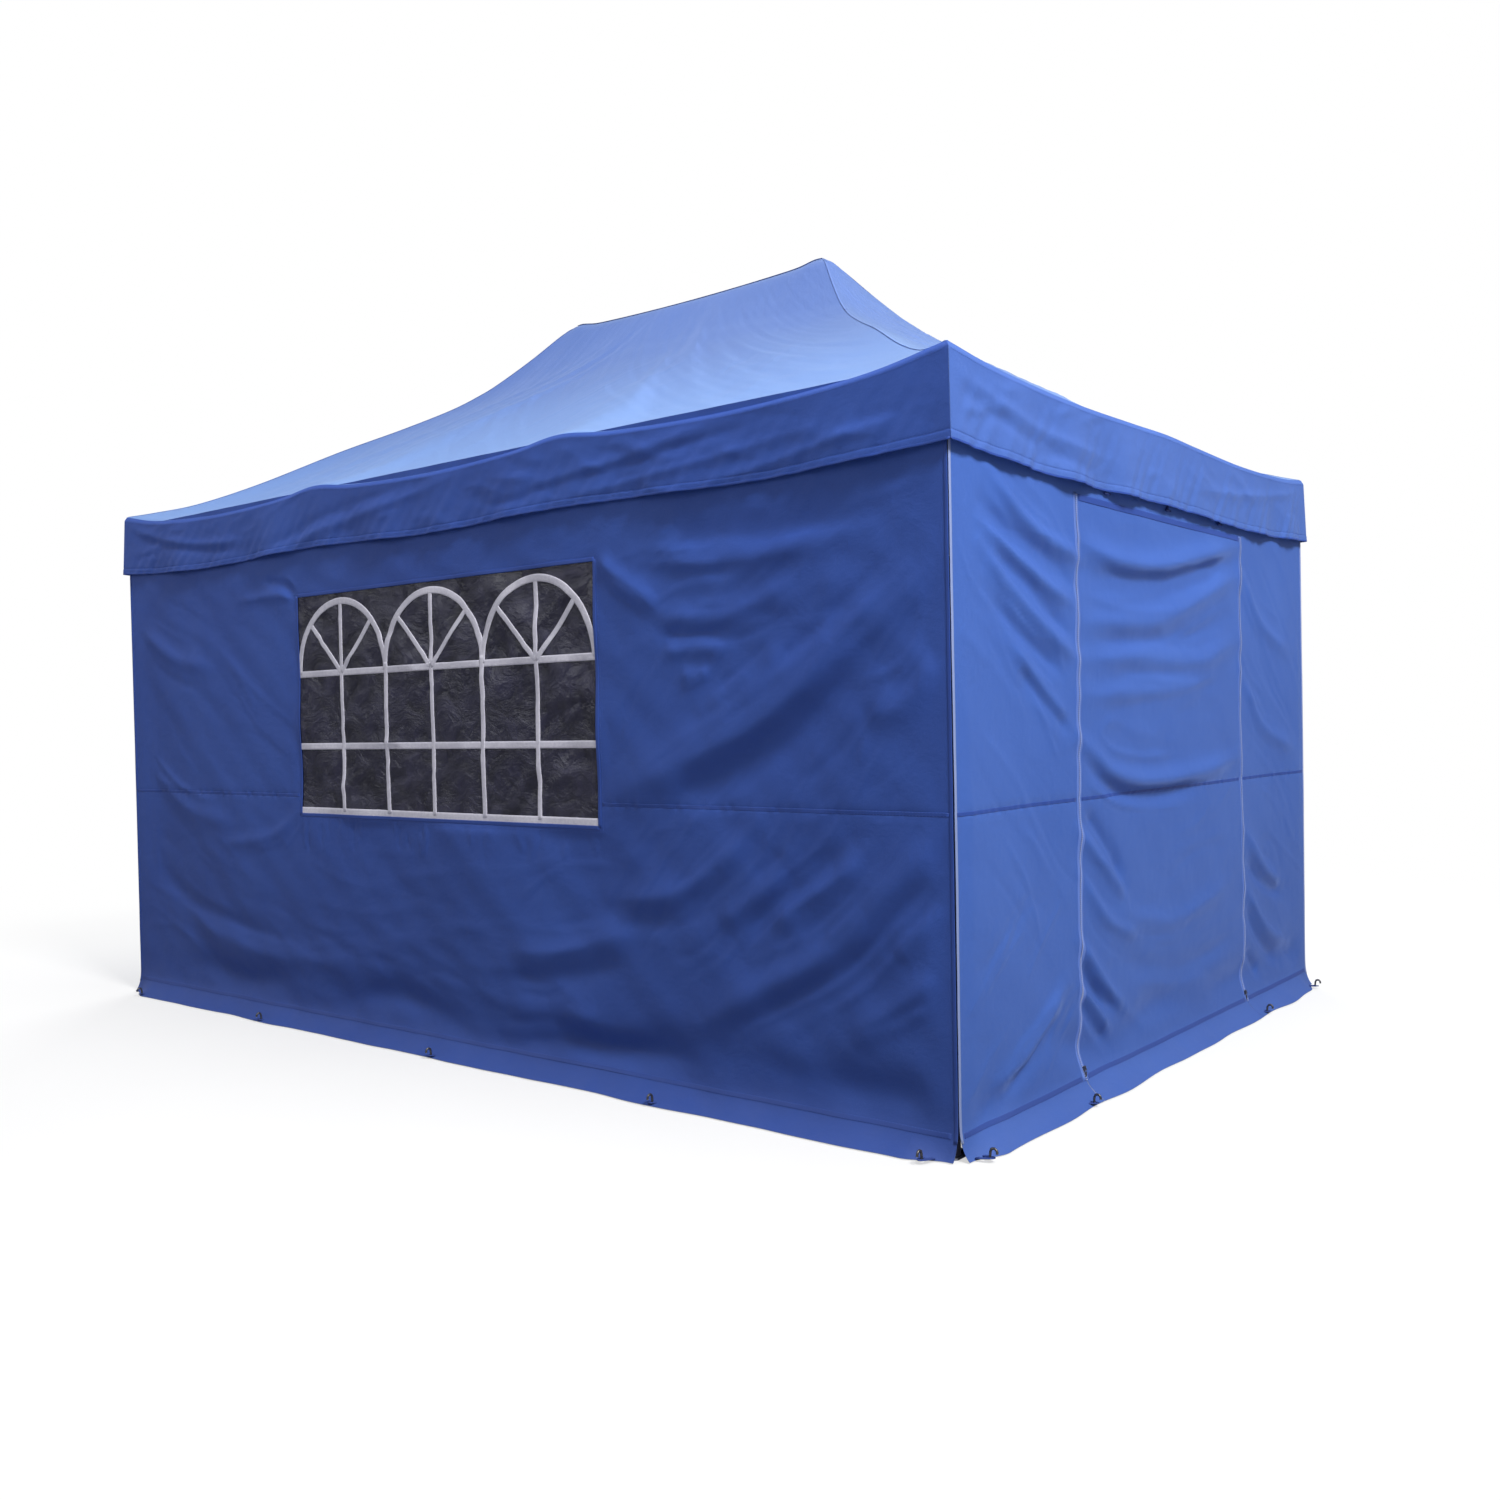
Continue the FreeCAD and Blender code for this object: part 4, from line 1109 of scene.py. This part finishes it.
def zip_sliders():
    """Sliders with pulls and cord ends, on the leaf near the ground."""
    out = RIGHT.outward
    trim = Trim("door_zip_sliders")
    for sign in (-1, 1):
        centre = on_right_wall(sign * .7470, .095) + out * .0055
        trim.block(centre, size=(.007, .012, .017), bevel=.45)
        trim.rope([centre + out * .004 + UP * .004, centre + out * .008,
                   centre + out * .0055 - UP * .006], .0012)
        pull = centre + out * .0055
        trim.block(pull - UP * .030, size=(.0022, .009, .042), bevel=.4)
        trim.rope([pull - UP * .052, pull - np.array([-.001, 0, .075]),
                   pull - np.array([-.004, .003 * sign, .088])], [.0016, .0024, .0030])
    dress_door(trim.make(), STEEL)


def door_ties():
    """Short hanging bands with toggles, at the lower edge of the valance."""
    count = 26
    trim = Trim("door_ties")
    for y in (-.52, 0.0, .52):
        band = wall_point(RIGHT, np.full(count, y), np.linspace(1.992, 1.958, count))
        band += RIGHT.outward * .0035
        band[:, 1] += .004 * np.sin(np.linspace(0, 5, count))
        trim.ribbon(band, RIGHT.outward, width=.014, thick=.0012)
        trim.rope(band[-1] + np.array([(.003, -.022, .004), (.004, 0, .005), (.003, .022, .004)]),
                  [.0035, .0046, .0035])
    dress(trim.make(), RIGHT, WEBBING)


def pegs(side, places):
    """Hooked pegs through webbing loops of the ground flap."""
    out = side.outward
    peg, loop = Trim("ground_pegs_" + side.name), Trim("peg_loops_" + side.name)
    t = np.linspace(-1, 1, 11)[:, None]
    # hook bends: (up, out)
    hook = ((.0045, 0), (.026, .002), (.034, .007), (.035, .016), (.029, .022), (.021, .0225))
    for along in places:
        centre = side.place(along, side.base + (.074 if side.long else .070), .004)
        band = centre - out * .040 + out * (.046 * (1 - t ** 2)) + side.tangent * (.016 * t)
        band[:, 2] = .0085 + .004 * (1 - t[:, 0] ** 2)
        loop.ribbon(band, UP, width=.015, thick=.0015)
        foot = centre - out * .004
        peg.rope(curve([foot + UP * up + out * away for up, away in hook], 5), .0040)
    dress(loop.make(), side, WEBBING)
    dress(peg.make(), side, STEEL)


for side in SIDES:
    wall_details(side)
window_welt()
door_zips()
door_seams()
zip_sliders()
door_ties()
pegs(FRONT, (-2.10, -1.1, .03, 1.15, 2.16))
pegs(RIGHT, (-1.49, -.82, .82, 1.46))
pegs(BACK, (-2.10, -.75, .75, 2.10))
pegs(LEFT, (-1.45, 0.0, 1.45))


# ------------------------------------------------------------------ canopy
def dress_roof(piece, points):
    """The piece rides the nearer peak hub."""
    centre = points.reshape(-1, 3).mean(0)
    name, sign = ("left", -1) if centre[0] < 0 else ("right", 1)
    piece.data.materials.append(CLOTH_ROOF)
    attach(piece, f"peak_hub_{name}_upper")
    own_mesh(piece)


def lean(normals, direction, amount):
    return normals * (1 - amount) + direction * amount


def slope(side, columns):
    """One roof slope, in a grid of panels."""
    rows = np.unique(np.round(np.concatenate([
        np.linspace(0, .06, 6), np.linspace(.06, .93, 74), np.linspace(.93, 1, 14)]), 5))
    along, rise = np.meshgrid(columns, rows)
    points = roof_point(side, along, rise)
    normals = grid_normals(points, unit(side.outward * .55 + UP * .83))
    # both slopes lean to the sky at the ridge, and the eave is folded over, not creased
    normals = lean(normals, UP, .55 * smooth(rise, .985, 1.0)[..., None])
    normals = lean(normals, side.outward, .40 * (1 - smooth(rise, 0, .03)[..., None]))
    normals = unit(normals)
    length = math.hypot(EAVE_Y if side.long else EAVE_X - RIDGE_X, .95)
    uvs = np.stack([along, rise * length], -1)
    across, upward = [np.unique(np.round(np.linspace(0, len(lines) - 1, count + 1)).astype(int))
                      for lines, count in ((columns, 16 if side.long else 11), (rows, 5))]
    for i in range(len(upward) - 1):
        for j in range(len(across) - 1):
            part = np.s_[upward[i]:upward[i + 1] + 1, across[j]:across[j + 1] + 1]
            panel = sheet(f"canopy_{side.name}_{i + 1}_{j + 1}",
                          points[part], normals[part], uvs[part])
            dress_roof(panel, points[part])
            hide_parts("canopy")


def valance(side, columns):
    rows = np.unique(np.round(np.concatenate([
        [0, .008, .02, .035, .05, .07], np.linspace(.09, .88, 22),
        [.895, .905, .912, .93, .95, .97, .99, 1.0]]), 4))
    along, drop = np.meshgrid(columns, rows)
    points = valance_point(side, along, drop)
    normals = grid_normals(points, side.outward)
    normals = unit(lean(normals, UP, .45 * (1 - smooth(drop, 0, .05))[..., None]))
    piece = sheet("valance_" + side.name, points, normals,
                  np.stack([along, 3 - drop * .28], -1), thick=.0012)
    dress(piece, side, CLOTH_VALANCE if side.long else CLOTH_VALANCE_END)
    trim = Trim("valance_stitches_" + side.name, side, valance_point)
    end = side.eave - .01
    for level, lift in ((.900, .0012), (.985, .0012), (.075, .0008)):
        trim.stitches([-end, end], [level, level], lift)
    dress(trim.make(), side, THREAD)
    trim = Trim("valance_hem_" + side.name, side, valance_point)
    end = side.eave - .002
    trim.tape([-end, end], [.998, .998], width=.007, thick=.0016, lift=-.0004)
    dress(trim.make(), side, SEAM)


def roof_seam(name, points, normal, width, parts):
    """A thin tape along a roof line, in parts that each ride the nearer peak hub."""
    step = (len(points) - 1) // parts
    for i in range(parts):
        run = points[step * i:step * (i + 1) + 1]
        trim = Trim(f"{name}_{i + 1}")
        trim.ribbon(run, normal, width, thick=.0007, lift=.0001)
        dress_roof(trim.make(), run)


for side in SIDES:
    eave_columns = grid_lines(side.eave, .020)
    slope(side, eave_columns)
    valance(side, eave_columns)
for side in (FRONT, BACK):
    for sign, end in ((-1, "left"), (1, "right")):
        hip = roof_point(side, np.full(121, sign * EAVE_X), np.linspace(.004, .997, 121))
        roof_seam(f"hip_seam_{side.name}_{end}", hip,
                  np.array([sign * .45, side.sign * .45, .77]), width=.009, parts=4)
ridge = roof_point(FRONT, np.linspace(-.742, .742, 81) / RIDGE_X * EAVE_X, np.full(81, 1.0))
roof_seam("ridge_seam", ridge, UP, width=.012, parts=2)


# ------------------------------------------------------------------ studio
def make_floor():
    """A pale floor that glows to the camera, fully so far out, and is greyer to other rays."""
    bpy.ops.mesh.primitive_plane_add(size=120, location=(0, 0, 0))
    floor = bpy.context.object
    floor.name = "floor"
    shader = Shader(bpy.data.materials.new("floor_pale"))
    position = shader.position()
    cloudy = shader.noise(position, scale=1.2)
    camera_ray = shader.add("LightPath").outputs["Is Camera Ray"]
    pale = shader.mix(cloudy, (.86, .86, .86), (.90, .90, .90))
    material = shader.surface({"Base Color": shader.mix(camera_ray, (.26, .26, .27), pale),
                               "Roughness": .9, "Specular IOR Level": .1})
    glow = shader.inputs(shader.add("Emission"), {"Color": (1, 1, 1), "Strength": 1.0})
    radius = shader.inputs(shader.add("VectorMath", operation="LENGTH"), {0: position})
    # the glow rises from .28 at the centre to 1 at about 6 m
    far = shader.level(radius.outputs["Value"], reach=6.0, soft=.25)
    far = shader.calc("MULTIPLY", shader.calc("MULTIPLY_ADD", far, .72, .28), camera_ray)
    shader.output_mix(far, shader.tree.nodes["Principled BSDF"], glow, "Material Output")
    floor.data.materials.append(material)


def area(name, location, target, size, power, color, size_y=None):
    light = bpy.data.lights.new(name, "AREA")
    light.shape = "RECTANGLE"
    light.size, light.size_y = size, size_y or size
    light.energy, light.color = power, color
    lamp = bpy.data.objects.new(name, light)
    scene.collection.objects.link(lamp)
    lamp.location = location
    aim = Vector(target) - Vector(location)
    lamp.rotation_euler = aim.to_track_quat("-Z", "Y").to_euler()


def make_world():
    """Soft light from all around, and plain white to the camera."""
    scene.world = bpy.data.worlds.new("studio")
    shader = Shader(scene.world)
    height = shader.split(shader.add("TexCoord").outputs["Generated"])[2]
    sky = shader.ramp(height, [(0.0, (.88, .88, .90)), (.5, (.97, .975, 1.0)),
                               (1.0, (1.0, 1.0, 1.0))])
    light = shader.inputs(shader.tree.nodes["Background"], {"Color": sky, "Strength": .30})
    camera_ray = shader.add("LightPath").outputs["Is Camera Ray"]
    white = shader.inputs(shader.add("Background"), {"Color": (1, 1, 1), "Strength": 1.0})
    shader.output_mix(camera_ray, light, white, "World Output")


def make_camera(location, turn, down, roll):
    """Looks along +Y turned towards -X, then down, then rolled. Angles in degrees."""
    turn, down, roll = (math.radians(angle) for angle in (turn, down, roll))
    lens = bpy.data.cameras.new("camera")
    lens.lens, lens.sensor_width, lens.clip_end = 33.13, 36.0, 200
    camera = bpy.data.objects.new("camera", lens)
    scene.collection.objects.link(camera)
    forward = Vector((-math.sin(turn) * math.cos(down), math.cos(turn) * math.cos(down),
                      -math.sin(down)))
    level = forward.cross(Vector((0, 0, 1))).normalized()
    above = level.cross(forward)
    rolled_x = level * math.cos(roll) + above * math.sin(roll)
    rolled_y = -level * math.sin(roll) + above * math.cos(roll)
    matrix = Matrix((rolled_x, rolled_y, -forward)).transposed().to_4x4()
    matrix.translation = Vector(location)
    camera.matrix_world = matrix
    scene.camera = camera


make_floor()
area("key", (9.0, -3.5, 10.0), target=(0, 0, 1.2), size=2.6, power=1600, color=(1, .99, .97))
area("top", (1.5, .5, 12.0), target=(0, 0, 2.0), size=5.0, power=420, color=(.97, .985, 1))
area("front_fill", (-7.5, -10.5, 5.5), target=(0, 0, 1.2), size=5.0, power=160,
     color=(.95, .97, 1))
area("rim", (-8.0, 9.5, 4.6), target=(0, 0, 1.6), size=8.0, power=1300, color=(.97, .98, 1),
     size_y=4.0)
make_world()
make_camera((4.176, -4.854, 1.229), turn=38.67, down=1.15, roll=-1.12)
scene.view_settings.view_transform = "Standard"
scene.view_settings.look = "None"
